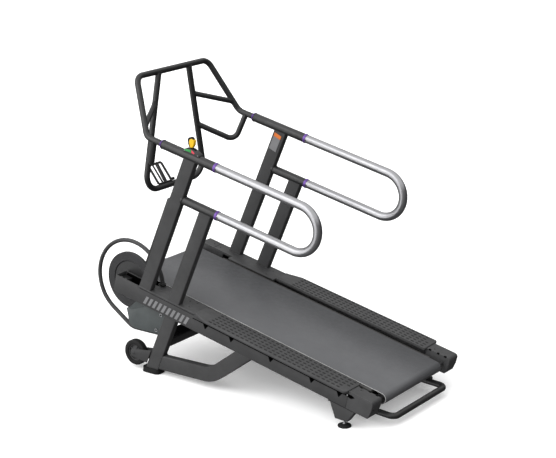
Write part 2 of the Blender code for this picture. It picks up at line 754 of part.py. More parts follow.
MAGNET_PIVOT = Vector((-0.575, FLYWHEEL_Y, 0.245))
pivot_frame = empty("magnet_pivot", MAGNET_PIVOT, 0.0, BASE)
centre = (FRONT_AXLE.x - MAGNET_PIVOT.x, FRONT_AXLE.z - MAGNET_PIVOT.z)
yoke = slab(
    "brake_magnet",
    arc(centre, 0.126, -70, -50, 3) + list(reversed(arc(centre, 0.188, -70, -50, 3))), 0.040, (0, 0, 0),
    STEEL, pivot_frame,
)
slot = slab(
    "yoke_slot",
    arc(centre, 0.115, -85, -35, 4) + list(reversed(arc(centre, 0.168, -85, -35, 6))), 0.027, (0, 0, 0),
    None, pivot_frame,
)
carve(yoke, slot)
arm_end = (centre[0] + 0.178 * cos(radians(-58)), centre[1] + 0.178 * sin(radians(-58)))
arm_tilt = atan2(arm_end[1], -arm_end[0])
arm_length = (arm_end[0] ** 2 + arm_end[1] ** 2) ** 0.5 + 0.010
arm = box(
    "yoke_arm", (arm_length, 0.020, 0.013), (arm_end[0] / 2, 0, arm_end[1] / 2), None, pivot_frame,
    (0, arm_tilt, 0),
)
join(yoke, arm)

GRIP_TOP = Vector((-0.2575, -HAND_Y, hand_line(UPPER_RING, -0.2575)))
shifter = empty("shifter", GRIP_TOP, HAND_SLOPE, BASE)
LEVER_PIVOT_Z = GRIP_R + 0.012
seat = GRIP_R - 0.010
body = [(-0.048, seat), (0.058, seat), (0.058, GRIP_R + 0.003), (0.040, GRIP_R + 0.012)]
body += arc((0.0, GRIP_R - 0.020), 0.042, 62, 118, 5)
body += [(-0.040, GRIP_R + 0.012), (-0.048, GRIP_R + 0.006)]
shell = slab("shifter_housing", body, 0.036, (0, 0, 0), BLACK_PAINT, shifter)
bevel(shell, 0.002, 1, radians(50))
carve(
    shell, box("lever_slot", (0.056, 0.013, 0.030), (-0.006, 0.002, GRIP_R + 0.022), None, shifter),
    hand_rod("shifter_seat", UPPER_RING, GRIP_R, -HAND_Y),
)

lever_pivot = empty("lever_pivot", (-0.0077, 0.002, LEVER_PIVOT_Z), -HAND_SLOPE, shifter)
stem = [(-0.005, -0.002), (0.005, -0.002), (0.009, 0.030), (-0.009, 0.030)]
lever = slab("resistance_lever", stem, 0.009, (0, 0, 0), YELLOW, lever_pivot)
paddle = arc((-0.001, 0.049), 0.0190, 0, 180, 8)
paddle += [(-0.0190, 0.034), (-0.0095, 0.0155), (0.010, 0.014), (0.017, 0.030)]
join(lever, slab("lever_paddle", paddle, 0.018, (0, 0, 0), None, lever_pivot))


# ---------------------------------------------------------------- wheels, feet and rear handle
def wheel_bracket(side, way):
    """A fork from the front of the leg, with its axle pin."""
    y = way * POST_Y
    leg_x = LEG_FRONT + GAP + 0.0002
    rear_low = (on_post(LEG, 0.054) - leg_x, 0.054)
    rear_top = (on_post(LEG, 0.130) - leg_x, 0.130)
    outline = arc((WHEEL_HUB.x, WHEEL_HUB.z), 0.024, 80, 250, 8) + [rear_low, rear_top]
    fork = slab(f"wheel_bracket_{side}", outline, 0.050, (0, y, 0), PAINT)
    gap = box(
        f"fork_gap_{side}", (0.30, 0.041, 0.30),
        (rear_low[0] - 0.004 - 0.15 * cos(POST_LEAN) + 0.016, y, rear_low[1] + 0.15 * sin(POST_LEAN) + 0.018),
        None, None, (0, POST_LEAN, 0),
    )
    carve(fork, gap)
    join(fork, rod(f"wheel_pin_{side}", 0.006, 0.0496, shift_y(WHEEL_HUB, y), sides=16))


def transport_wheel(side, way):
    """A tyre on a hub, turning on the fork's pin."""
    bore = 0.006 + GAP
    half = WHEEL_HALF
    profile = [
        (bore, half), (0.021, half), (0.021, half - 0.006), (0.045, half - 0.006), (0.045, half),
        (WHEEL_R - 0.005, half), (WHEEL_R, half - 0.006),
    ]
    profile += [(radius, -height) for radius, height in reversed(profile)]
    hub = shift_y(WHEEL_HUB, way * POST_Y)
    turned(f"transport_wheel_{side}", profile, hub, RUBBER, steps=24, closed=True)


def rear_foot(side, way):
    """A bracket under the rail and the foot screwed into it."""
    y = way * FOOT.y
    outline = [(0.620, deck_z(0.620) - RAIL_UNDER - GAP), (0.655, 0.037), (0.729, 0.034),
               (0.7745, deck_z(0.7745) - RAIL_UNDER - 0.0015)]
    outline.insert(0, (RAIL_REAR * cos(INCLINE), deck_z(RAIL_REAR * cos(INCLINE)) - RAIL_UNDER - 0.0015))
    bracket = slab(f"foot_bracket_{side}", outline, 0.040, (0, way * 0.394, 0), PAINT)
    bevel(bracket, 0.002, 1)
    carve(bracket, rod(f"stud_hole_{side}", 0.0055, 0.10, (FOOT.x, y, 0.030), None, None, (0, 0, 0), 16))
    profile = [
        (0, 0.070), (0.005, 0.070), (0.005, 0.021), (0.014, 0.020), (0.016, 0.012), (0.031, 0.010),
        (0.035, 0.006), (0.035, 0.001), (0.034, 0), (0, 0),
    ]
    turned(f"leveling_foot_{side}", profile, (FOOT.x, y, 0), RUBBER, None, (0, 0, 0), 24)


for side, way in SIDES:
    wheel_bracket(side, way)
    transport_wheel(side, way)
    rear_foot(side, way)

HANDLE_ROOT = Vector((0.590, 0.372, 0.1190))
HANDLE_KNEE = Vector((0.745, HANDLE_Y, 0.058))
HANDLE_CORNER = Vector((HANDLE_REAR, HANDLE_Y, HANDLE_Z))
tube(
    "rear_handle", bent(mirrored([HANDLE_ROOT, HANDLE_KNEE, HANDLE_CORNER]), [0.060, 0.034, 0.034, 0.060]),
    HANDLE_TUBE_R, BLACK_PAINT,
)

for obj in PARTS.objects:
    if obj.type == "MESH":
        obj.data.shade_smooth()
        obj.data.set_sharp_from_angle(angle=radians(35))
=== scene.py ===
"""Looks for the flat-belt manual treadmill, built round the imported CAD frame.

Metres, +Z up. Points are written from the middle of the walking deck, as in the part's source, and SHIFT
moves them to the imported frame. The left side, with the flywheel, is at negative Y. The user faces -X.
"""

from math import asin, atan2, cos, pi, radians, sin, sqrt, tan

import bmesh
import bpy
from mathutils import Matrix, Vector


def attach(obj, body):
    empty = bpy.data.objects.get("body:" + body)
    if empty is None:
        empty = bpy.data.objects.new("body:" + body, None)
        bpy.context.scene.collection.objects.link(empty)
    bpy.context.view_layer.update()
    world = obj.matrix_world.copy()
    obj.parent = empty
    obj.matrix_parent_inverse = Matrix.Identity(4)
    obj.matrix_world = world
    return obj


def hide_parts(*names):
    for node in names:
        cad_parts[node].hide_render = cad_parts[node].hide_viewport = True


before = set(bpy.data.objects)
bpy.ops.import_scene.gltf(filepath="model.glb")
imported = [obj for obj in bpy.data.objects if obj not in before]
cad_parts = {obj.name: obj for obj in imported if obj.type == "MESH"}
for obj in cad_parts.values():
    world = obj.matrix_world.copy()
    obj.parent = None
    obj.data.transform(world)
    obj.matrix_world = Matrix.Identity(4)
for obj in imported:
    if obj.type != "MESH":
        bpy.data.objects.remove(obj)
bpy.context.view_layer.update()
scene = bpy.context.scene

# ---------------------------------------------------------------- dimensions shared with the part
SHIFT = Matrix.Translation((0.0448, 0, 0))
GAP = 0.0003
INCLINE = radians(11.7)
DECK_HEIGHT = 0.3566
RAIL_DEPTH = 0.096
RAIL_OUTER = 0.417
RAIL_INNER = 0.331
TREAD_RISE = 0.005
CAP_REAR = 0.902
FRONT_AXLE = Vector((-0.762, 0.0, 0.4645))
REAR_AXLE = Vector((0.834, 0.0, 0.138))
FRONT_BELT_R = 0.0435
REAR_BELT_R = 0.031
BELT_THICK = 0.004
BELT_HALF = 0.2694
ROLLER_HALF = 0.262
SHAFT_R = 0.0125
REAR_SHAFT_R = 0.009
FLYWHEEL_Y = -0.318
FLYWHEEL_R = 0.160
FLYWHEEL_RIM = 0.112
GUARD_Y = -0.308
GUARD_TUBE_R = 0.0115
POST_Y = 0.396
POST_WIDE = 0.038
POST_DEEP = 0.079
POST_LEAN = radians(23.1)
FRONT_POST = Vector((-0.4205, 0.0, 0.860))
REAR_POST = Vector((-0.2735, 0.0, 0.704))
LEG = Vector((-0.478, 0.0, 0.183))
HAND_Y = 0.396
HAND_SLOPE = radians(11.9)
GRIP_R = 0.0245
RAIL_TUBE_R = 0.0235
UPPER_RING = Vector((-0.097, 0.0, 1.215))
LOWER_RING = Vector((-0.092, 0.0, 0.962))
RING_HALF = 0.0075
LOOP_CENTRE_X = 0.4075
FRAME_TUBE_R = 0.0165
BRACE_TUBE_R = 0.0145
HOOK_TUBE_R = 0.0155
TOP_CORNER = Vector((-0.7032, 0.298, 1.5993))
INNER_TOP = Vector((-0.6957, 0.1275, 1.5932))
INNER_BOTTOM = Vector((-0.6997, 0.257, 0.9587))
WHEEL_HUB = Vector((-0.668, 0.0, 0.090))
WHEEL_R = 0.0715
FOOT = Vector((0.703, 0.396, 0.0))
HANDLE_TUBE_R = 0.0165

LEAN = Matrix.Rotation(POST_LEAN, 4, "Y")
DECK = Matrix.Translation((0, 0, DECK_HEIGHT)) @ Matrix.Rotation(INCLINE, 4, "Y")
DECK_UP = Vector((sin(INCLINE), 0, cos(INCLINE)))
HAND_UP = Vector((sin(HAND_SLOPE), 0, cos(HAND_SLOPE)))
HAND_BACK = Vector((cos(HAND_SLOPE), 0, -sin(HAND_SLOPE)))
POST_BACK = Vector((cos(POST_LEAN), 0, -sin(POST_LEAN)))
SIDEWAYS = Matrix.Rotation(pi / 2, 4, "X")
REARWARDS = Matrix.Rotation(pi / 2, 4, "Y")
SIDES = (("left", -1), ("right", 1))


def at(x, y, z):
    return Matrix.Translation((x, y, z))


def shift_y(point, y):
    return Vector((point.x, y, point.z))


def on_post(post, z):
    return post.x + (z - post.z) * tan(POST_LEAN)


def hand_line(ring, x):
    return ring.z - (x - ring.x) * tan(HAND_SLOPE)


def ring_point(ring, along, y):
    """A point on a handrail's axis, a distance behind its ring."""
    return shift_y(ring + HAND_BACK * along, y)


FRONT_RING = Vector((-0.452, 0, hand_line(UPPER_RING, -0.452)))


# ---------------------------------------------------------------- materials
def add(tree, kind, values=None, **settings):
    """A shader node with its settings and input values."""
    made = tree.nodes.new(kind)
    for key, value in settings.items():
        setattr(made, key, value)
    for key, value in (values or {}).items():
        made.inputs[key].default_value = value
    return made


def ranged(tree, source, low, high, to_low, to_high):
    """A value mapped from one range to another."""
    made = add(tree, "ShaderNodeMapRange", {1: low, 2: high, 3: to_low, 4: to_high})
    tree.links.new(source, made.inputs[0])
    return made.outputs[0]


def product(tree, first, second, operation="MULTIPLY"):
    made = add(tree, "ShaderNodeMath", operation=operation)
    for slot, source in zip(made.inputs, (first, second)):
        tree.links.new(source, slot)
    return made.outputs[0]


def blended(tree, factor, first, second):
    """One colour over another by a factor. Each is a colour or a socket."""
    made = add(tree, "ShaderNodeMix", data_type="RGBA")
    tree.links.new(factor, made.inputs[0])
    for slot, source in ((made.inputs[6], first), (made.inputs[7], second)):
        if isinstance(source, tuple):
            slot.default_value = (*source, 1.0)
        else:
            tree.links.new(source, slot)
    return made.outputs[2]


def noise_of(tree, coords, scale, detail=3.0, stretch=(1, 1, 1)):
    """A noise texture over object coordinates, in features per metre."""
    if stretch != (1, 1, 1):
        mapping = add(tree, "ShaderNodeMapping", {"Scale": stretch})
        tree.links.new(coords, mapping.inputs[0])
        coords = mapping.outputs[0]
    made = add(tree, "ShaderNodeTexNoise", {"Scale": scale, "Detail": detail})
    tree.links.new(coords, made.inputs["Vector"])
    return made.outputs[0]


def wave_of(tree, coords, scale, direction, kind="BANDS"):
    key = "rings_direction" if kind == "RINGS" else "bands_direction"
    made = add(tree, "ShaderNodeTexWave", {"Scale": scale}, wave_type=kind, **{key: direction})
    tree.links.new(coords, made.inputs["Vector"])
    return made.outputs[1]


def weave(tree, coords):
    """A woven fabric pressed into rubber, 2 mm to a thread."""
    along = wave_of(tree, coords, 80, "X")
    across = wave_of(tree, coords, 80, "Y")
    return product(tree, along, across)


def rings(tree, coords):
    """Turning marks about the piece's own Z axis."""
    fine = wave_of(tree, coords, 260, "Z", "RINGS")
    return product(tree, fine, noise_of(tree, coords, 60))


def pebbles(tree, coords):
    """The fine leather grain of moulded plastic."""
    made = add(tree, "ShaderNodeTexVoronoi", {"Scale": 520.0}, feature="SMOOTH_F1")
    tree.links.new(coords, made.inputs["Vector"])
    return made.outputs[0]


def speckle(tree, coords):
    """The orange peel of powder coat."""
    return noise_of(tree, coords, 700, 2.0)


def brushed(tree, coords):
    """Fine lines round a tube that lies along X."""
    return noise_of(tree, coords, 1.0, 4.0, (1500, 60, 60))


def edges(tree, coords, strength):
    """A mask of the outer edges, broken up by noise, for edges painted lighter: partly rubbed paint, partly a
    painted highlight.
    """
    soft = add(tree, "ShaderNodeBevel", {"Radius": 0.0016})
    soft.samples = 4
    turn = add(tree, "ShaderNodeVectorMath", operation="DOT_PRODUCT")
    tree.links.new(soft.outputs[0], turn.inputs[0])
    tree.links.new(add(tree, "ShaderNodeNewGeometry").outputs["Normal"], turn.inputs[1])
    mask = ranged(tree, turn.outputs["Value"], 0.985, 0.90, 0.0, strength)
    patchy_wear_and_highlight = ranged(tree, noise_of(tree, coords, 60, 5.0), 0.40, 0.60, 0.15, 1.0)
    return product(tree, mask, patchy_wear_and_highlight)


def finish(name, colour, roughness, relief, depth, metallic=0.0, specular=0.3, mottle=0.12, edge_wear_and_highlight=0.0):
    """A procedural material: mottled colour, uneven gloss, a fine relief, and lighter edges that are partly
    rubbed paint and partly a painted highlight.
    """
    made = bpy.data.materials.new(name)
    made.use_nodes = True
    tree = made.node_tree
    shader = tree.nodes["Principled BSDF"]
    shader.inputs["Metallic"].default_value = metallic
    shader.inputs["Specular IOR Level"].default_value = specular
    coords = add(tree, "ShaderNodeTexCoord").outputs["Object"]
    cloud = noise_of(tree, coords, 11, 4.0)
    patch = ranged(tree, cloud, 0.3, 0.7, 0.0, 1.0)
    dark = tuple(c * (1 - mottle) for c in colour)
    light = tuple(min(1.0, c * (1 + mottle)) for c in colour)
    base = blended(tree, patch, dark, light)
    # The edges are painted lighter: partly rubbed paint, partly a painted highlight.
    if edge_wear_and_highlight:
        worn_and_highlit = tuple(min(1.0, c * 2.0 + 0.05) for c in colour)
        base = blended(tree, edges(tree, coords, edge_wear_and_highlight), base, worn_and_highlit)
    tree.links.new(base, shader.inputs["Base Color"])
    smear = noise_of(tree, coords, 38, 5.0)
    gloss = ranged(tree, smear, 0.3, 0.7, roughness - 0.05, roughness + 0.06)
    tree.links.new(gloss, shader.inputs["Roughness"])
    bump = add(tree, "ShaderNodeBump", {"Strength": depth, "Distance": 0.0004})
    tree.links.new(relief(tree, coords), bump.inputs["Height"])
    tree.links.new(bump.outputs[0], shader.inputs["Normal"])
    return made


LOOKS = {
    "grey_paint": finish(
        "grey_powder_coat", (0.037, 0.037, 0.0378), 0.50, speckle, 0.25, specular=0.28, edge_wear_and_highlight=0.5
    ),
    "black_paint": finish(
        "black_powder_coat", (0.0115, 0.0115, 0.0120), 0.44, speckle, 0.2, specular=0.45, edge_wear_and_highlight=0.4
    ),
    "grey_plastic": finish(
        "moulded_plastic", (0.044, 0.044, 0.045), 0.52, pebbles, 0.5, specular=0.25, edge_wear_and_highlight=0.3
    ),
    "belt_rubber": finish(
        "belt_weave", (0.080, 0.0815, 0.0855), 0.42, weave, 0.35, specular=0.30, mottle=0.05
    ),
    "black_rubber": finish("black_rubber", (0.0085, 0.0085, 0.0085), 0.72, speckle, 0.6, specular=0.25),
    "satin_steel": finish("brushed_tube", (0.30, 0.30, 0.31), 0.36, brushed, 0.25, 1.0, 0.5, 0.03),
    "dark_steel": finish("oiled_steel", (0.060, 0.060, 0.062), 0.45, speckle, 0.2, 0.6, 0.4, 0.10),
    "bright_steel": finish("zinc_plate", (0.30, 0.30, 0.31), 0.38, speckle, 0.2, 1.0, 0.5, 0.06),
    "purple_anodised": finish("anodised_ring", (0.13, 0.065, 0.27), 0.40, rings, 0.3, 0.55, 0.5, 0.06),
    "flywheel_iron": finish("turned_iron", (0.024, 0.024, 0.0255), 0.42, rings, 0.6, 0.35, 0.4, 0.10),
    "brake_cover": finish("brake_cover", (0.068, 0.076, 0.077), 0.50, pebbles, 0.4, specular=0.3, edge_wear_and_highlight=0.3),
    "deck_laminate": finish("deck_edge", (0.045, 0.044, 0.043), 0.60, brushed, 0.4),
    "yellow_plastic": finish("lever_yellow", (0.78, 0.46, 0.012), 0.36, pebbles, 0.2, mottle=0.05),
    # The belt's cut edges: pale grey for the lighter ply and a painted highlight along the edge.
    "belt_edge_ply_and_highlight": finish("belt_cut_edge_and_highlight", (0.42, 0.42, 0.42), 0.70, speckle, 0.5),
    "green": finish("scale_green", (0.035, 0.27, 0.07), 0.40, pebbles, 0.1, mottle=0.04),
    "red": finish("scale_red", (0.60, 0.055, 0.085), 0.40, pebbles, 0.1, mottle=0.04),
    "orange": finish("label_orange", (0.62, 0.16, 0.030), 0.45, speckle, 0.1, mottle=0.04),
    "label_grey": finish("label_grey", (0.17, 0.17, 0.175), 0.45, speckle, 0.1, mottle=0.08),
    "graphic": finish("plain_bars", (0.17, 0.17, 0.175), 0.48, speckle, 0.2, mottle=0.05),
    "stud": finish("grip_stud", (0.014, 0.014, 0.0145), 0.66, pebbles, 0.6, specular=0.25),
    # A near-black, glossless sheet painted where there is only shade: openings, recesses and gaps.
    "painted_shade": finish("painted_shade_black", (0.0012, 0.0012, 0.0012), 0.9, speckle, 0.0, specular=0.0),
    "weld": finish("painted_weld", (0.010, 0.010, 0.0105), 0.36, speckle, 0.4),
}


# ---------------------------------------------------------------- mesh tools
def piece(name, work, look, body="frame", place=None, stands_for=(), crease=32):
    """A finished piece from a bmesh: material, smoothing, body and the CAD nodes that it stands for."""
    bmesh.ops.recalc_face_normals(work, faces=work.faces)
    mesh = bpy.data.meshes.new(name)
    work.to_mesh(mesh)
    work.free()
    mesh.shade_smooth()
    mesh.set_sharp_from_angle(angle=radians(crease))
    mesh.materials.append(LOOKS[look])
    obj = bpy.data.objects.new(name, mesh)
    scene.collection.objects.link(obj)
    obj.matrix_world = SHIFT @ (place or Matrix())
    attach(obj, body)
    if stands_for:
        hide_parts(*stands_for)
    return obj


def move(work, verts, place):
    if place is not None:
        bmesh.ops.transform(work, matrix=place, verts=verts)


def round_edges(work, edges, width, steps=3):
    if width:
        bmesh.ops.bevel(
            work, geom=edges, offset=width, segments=steps, profile=0.5, affect="EDGES", clamp_overlap=True
        )


def block(work, size, place=None, edge=0.0, steps=3):
    """A block centred at its place, with rounded edges."""
    part = bmesh.new()
    bmesh.ops.create_cube(part, size=1.0)
    bmesh.ops.scale(part, vec=size, verts=part.verts)
    round_edges(part, part.edges[:], edge, steps)
    merge(work, part, place)


def merge(work, part, place=None):
    """Add one bmesh to another and free it."""
    move(part, part.verts, place)
    mesh = bpy.data.meshes.new("step")
    part.to_mesh(mesh)
    part.free()
    work.from_mesh(mesh)
    bpy.data.meshes.remove(mesh)


def prism(work, outline, thick, place=None, edge=0.0, steps=3):
    """A flat outline with a thickness centred on its plane, its rims rounded."""
    part = bmesh.new()
    low = [part.verts.new((x, y, -thick / 2)) for x, y in outline]
    high = [part.verts.new((x, y, thick / 2)) for x, y in outline]
    part.faces.new(low)
    part.faces.new(high)
    for i in range(len(outline)):
        k = (i + 1) % len(outline)
        part.faces.new((low[i], low[k], high[k], high[i]))
    rims = [e for e in part.edges if abs(e.verts[0].co.z - e.verts[1].co.z) < 1e-7]
    round_edges(part, rims, edge, steps)
    merge(work, part, place)


def turned(work, profile, place=None, steps=64, closed=False):
    """A turned solid about Z from (radius, height) pairs."""
    loops = []
    for radius, height in profile:
        if radius < 1e-6:
            loops.append([work.verts.new((0, 0, height))])
            continue
        turns = [2 * pi * i / steps for i in range(steps)]
        loops.append([work.verts.new((radius * cos(a), radius * sin(a), height)) for a in turns])
    pairs = list(zip(loops, loops[1:]))
    if closed:
        pairs.append((loops[-1], loops[0]))
    for first, second in pairs:
        skin(work, first, second)
    move(work, [v for loop in loops for v in loop], place)


def skin(work, first, second):
    """Faces between two rings, either of which may be one point."""
    count = max(len(first), len(second))
    for i in range(count):
        k = (i + 1) % count
        if len(first) == 1:
            work.faces.new((first[0], second[k], second[i]))
        elif len(second) == 1:
            work.faces.new((first[i], first[k], second[0]))
        else:
            work.faces.new((first[i], first[k], second[k], second[i]))


def sweep(work, path, radius, sides=32, closed=False, lip=0.0012):
    """A round tube along a path, its ends closed with a rounded lip. The radius may be a list."""
    path = [Vector(p) for p in path]
    count = len(path)
    radii = radius if isinstance(radius, list) else [radius] * count
    runs = [(path[(i + 1) % count] - path[i]).normalized() for i in range(count)]
    if not closed:
        runs[-1] = runs[-2]
    tangents = [(runs[i] + runs[i - 1]).normalized() for i in range(count)]
    if not closed:
        tangents[0] = runs[0]
    side = tangents[0].orthogonal().normalized()
    stations = []
    for i in range(count):
        side = (side - tangents[i] * side.dot(tangents[i])).normalized()
        stations.append((path[i], tangents[i], side.copy(), radii[i]))
    if not closed:
        first, last = stations[0], stations[-1]
        head = [(first[0] + first[1] * lip * (1 - cos(a)), first[1], first[2], first[3] - lip * (1 - sin(a)))
                for a in (0.0, pi / 6, pi / 3)]
        tail = [(last[0] - last[1] * lip * (1 - cos(a)), last[1], last[2], last[3] - lip * (1 - sin(a)))
                for a in (pi / 3, pi / 6, 0.0)]
        stations[0] = (first[0] + first[1] * lip, *first[1:])
        stations[-1] = (last[0] - last[1] * lip, *last[1:])
        stations = head + stations + tail
    loops = []
    for centre, along, across, size in stations:
        other = along.cross(across)
        turns = [2 * pi * k / sides for k in range(sides)]
        loops.append([work.verts.new(centre + across * size * cos(a) + other * size * sin(a)) for a in turns])
    for first, second in zip(loops, loops[1:]):
        skin(work, first, second)
    if closed:
        skin(work, loops[-1], loops[0])
    else:
        work.faces.new(loops[0])
        work.faces.new(loops[-1])


def cut(work, point, normal):
    """Take away what lies beyond a plane and close the cut."""
    geometry = work.verts[:] + work.edges[:] + work.faces[:]
    made = bmesh.ops.bisect_plane(work, geom=geometry, plane_co=point, plane_no=normal, clear_outer=True)
    rim = [e for e in made["geom_cut"] if isinstance(e, bmesh.types.BMEdge)]
    bmesh.ops.holes_fill(work, edges=rim)
    return rim


def arc(centre, radius, start, end, steps):
    turn = [radians(start + (end - start) * i / steps) for i in range(steps + 1)]
    return [(centre[0] + radius * cos(a), centre[1] + radius * sin(a)) for a in turn]


def bent(corners, radius, steps=18):
    """A path through corners, each rounded to a bend radius."""
    corners = [Vector(c) for c in corners]
    radii = [radius] * len(corners) if isinstance(radius, float) else [0, *radius, 0]
    path = [corners[0]]
    for i in range(1, len(corners) - 1):
        into = (corners[i] - corners[i - 1]).normalized()
        out = (corners[i + 1] - corners[i]).normalized()
        turn = into.angle(out)
        side = (out - into * into.dot(out)).normalized()
        start = corners[i] - into * radii[i] * tan(turn / 2)
        for k in range(steps + 1):
            a = turn * k / steps
            path.append(start + side * radii[i] * (1 - cos(a)) + into * radii[i] * sin(a))
    path.append(corners[-1])
    return path


def mirrored(path):
    left = [Vector((p.x, -abs(p.y), p.z)) for p in path]
    right = [Vector((p.x, abs(p.y), p.z)) for p in reversed(path)]
    return left + right


def polish(node, look, edge=0.0012, steps=3, body="frame"):
    """A CAD node's own shape with its flat faces made whole and its edges rounded."""
    work = bmesh.new()
    work.from_mesh(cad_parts[node].data)
    bmesh.ops.remove_doubles(work, verts=work.verts, dist=0.00002)
    bmesh.ops.dissolve_limit(work, angle_limit=radians(1.0), verts=work.verts, edges=work.edges)
    sharp = [e for e in work.edges if e.is_manifold and e.calc_face_angle(0.0) > radians(33)]
    round_edges(work, sharp, edge, steps)
    return piece(f"{node}_fine", work, look, body, SHIFT.inverted(), (node,))


def to_plane(point, normal):
    """How far along a direction a plane lies."""
    return lambda p, along: (point - p).dot(normal) / along.dot(normal)


def to_tube(centre, axis, radius):
    """How far along a direction the near side of a tube lies."""
    axis = axis.normalized()

    def reach(p, along):
        w = p - centre
        w = w - axis * w.dot(axis)
        d = along - axis * along.dot(axis)
        a, b, c = d.dot(d), 2 * w.dot(d), w.dot(w) - radius * radius
        inside = max(b * b - 4 * a * c, 0.0)
        return (-b - sqrt(inside)) / (2 * a)

    return reach


def weld(work, start, along, radius, reach, size=0.0024, count=72):
    """A rippled bead where a tube from start, going along, meets a surface."""
    along = along.normalized()
    side = along.orthogonal().normalized()
    other = along.cross(side)
    path = []
    for i in range(count):
        a = 2 * pi * i / count
        point = start + (side * cos(a) + other * sin(a)) * (radius + size * 0.2)
        path.append(point + along * reach(point, along))
    ripple = [size * (1.0 + 0.10 * cos(2 * pi * i / 3)) for i in range(count)]
    sweep(work, path, ripple, 8, True)


def button_screw(work, place, radius, high=None):
    """A domed screw head with a hexagonal socket."""
    high = high or radius * 0.55
    dome = [(radius, 0), (radius * 0.97, high * 0.35), (radius * 0.80, high * 0.80), (radius * 0.52, high)]
    turned(work, dome + [(radius * 0.50, high)], place, 24)
    socket = [(radius * 0.50, high), (radius * 0.46, high * 0.25), (0, high * 0.25)]
    turned(work, socket, place, 24)


def hex_bolt(work, place, radius, high):
    """A hexagon head on a washer."""
    turned(work, [(radius * 1.35, 0), (radius * 1.35, high * 0.2), (0, high * 0.2)], place, 32)
    outline = [(radius * cos(radians(60 * i)), radius * sin(radians(60 * i))) for i in range(6)]
    prism(work, outline, high * 0.8, place @ at(0, 0, high * 0.6), radius * 0.1, 2)


# ---------------------------------------------------------------- rails, covers, treads and end caps
COVER_SCREWS = ((-0.351, 0.323), (-0.312, 0.309), (-0.312, 0.376))
VENTS = (-0.158, 0.012, 0.266, 0.522, 0.690)


def deck_side(side, way):
    """One side of the deck, with its screws and studs, and near-black sheets painted as the shade in its
    openings, slots and seams.
    """
    polish(f"side_rail_{side}", "grey_paint", 0.0008)
    polish(f"front_cover_{side}", "grey_plastic", 0.0010)
    polish(f"tread_strip_{side}", "grey_plastic", 0.0012)
    polish(f"end_cap_{side}", "grey_plastic", 0.0016)

    # Near-black sheets painted as shade: the open channel in front, behind and over the vents, the end cap's
    # slots and the hole in its rear face.
    dark = bmesh.new()
    block(dark, (0.130, 0.0010, 0.080), at(-0.722, way * (RAIL_INNER + 0.0062), -0.044), 0.0002)
    for x in VENTS:
        behind = at(x / cos(INCLINE), way * (RAIL_OUTER - 0.0085), -0.026)
        block(dark, (0.044, 0.003, 0.036), behind, 0.0005)
        mid = x / cos(INCLINE)
        hole = [
            (mid - 0.0175, -0.0290), (mid - 0.0163, -0.0280), (mid + 0.0163, -0.0280),
            (mid + 0.0175, -0.0290), (mid + 0.0022, -0.0545), (mid, -0.0556), (mid - 0.0022, -0.0545),
        ]
        prism(dark, hole, 0.0008, at(0, way * (RAIL_OUTER + 0.0001), 0) @ SIDEWAYS)
    for x in (0.776, 0.827, 0.872):
        block(dark, (0.015, 0.008, 0.008), at(x, way * (RAIL_INNER + 0.0033), -0.0036), 0.001)
    slot = [(0.688, -0.020), (0.778, -0.014), (0.796, -0.022), (0.776, -0.034), (0.742, -0.029)]
    prism(dark, slot, 0.0012, at(0, way * (RAIL_OUTER + 0.0002), 0) @ SIDEWAYS, 0.0003)
    block(dark, (0.004, 0.030, 0.014), at(CAP_REAR - 0.0027, way * 0.352, -0.032), 0.001)
    # Near-black strips painted as the shade in the gaps under the tread lip, along the lower edge by the end
    # cap and where the cover meets the web.
    block(dark, (0.976, 0.0030, 0.0036), at(0.257, way * 0.4440, -0.0118), 0.0004)
    block(dark, (0.150, 0.0012, 0.0030), at(0.732, way * 0.4146, -0.0980), 0.0002)
    block(dark, (0.380, 0.0008, 0.0018), at(-0.436, way * (RAIL_OUTER + 0.0002), -0.0102), 0.0002)
    piece(f"painted_shade_openings_{side}", dark, "painted_shade", place=DECK)

    screws = bmesh.new()
    for x, y in COVER_SCREWS:
        button_screw(screws, at(x, way * y, 0), 0.0050, 0.0018)
    button_screw(screws, at(0.789, way * 0.355, 0), 0.0055, 0.0020)
    button_screw(screws, at(CAP_REAR - 0.0015, way * 0.398, -0.045) @ REARWARDS, 0.0065, 0.0030)
    if side == "right":
        for x, y in ((-0.687, 0.362), (-0.509, 0.407), (-0.739, 0.373)):
            button_screw(screws, at(x, way * y, 0), 0.0050, 0.0018)
    piece(f"cover_screws_{side}", screws, "black_paint", place=DECK)

    bright = bmesh.new()
    button_screw(bright, at(0.752, way * (RAIL_OUTER + 0.0006), -0.024) @ facing(way), 0.0048, 0.002)
    piece(f"slot_screw_{side}", bright, "bright_steel", place=DECK)

    studs = bmesh.new()
    for i in range(29):
        for k in range(5):
            spot = (-0.128 + 0.0305 * i, 0.3235 + 0.0262 * k)
            if i == 28 and k > 2:
                continue
            outline = [(spot[0] + dx, way * spot[1] + dy) for dx, dy in LOZENGE]
            prism(studs, outline, 0.0022, at(0, 0, TREAD_RISE + 0.0008), 0.0007, 2)
    piece(f"grip_studs_{side}", studs, "stud", place=DECK)

    bars = bmesh.new()
    for i in range(10):
        x = -0.590 + 0.0315 * i
        outline = [(x, -0.084), (x + 0.018, -0.084), (x + 0.036, -0.038), (x + 0.018, -0.038)]
        prism(bars, outline, 0.0008, at(0, way * (RAIL_OUTER + 0.0002), 0) @ SIDEWAYS, 0.0002, 1)
    piece(f"plain_bars_{side}", bars, "graphic", place=DECK)


def facing(way):
    """Turns +Z to the outside of a side."""
    return Matrix.Rotation(-way * pi / 2, 4, "X")


LOZENGE = arc((0.0055, 0), 0.0042, -90, 90, 6) + arc((-0.0055, 0), 0.0042, 90, 270, 6)

for side, way in SIDES:
    deck_side(side, way)

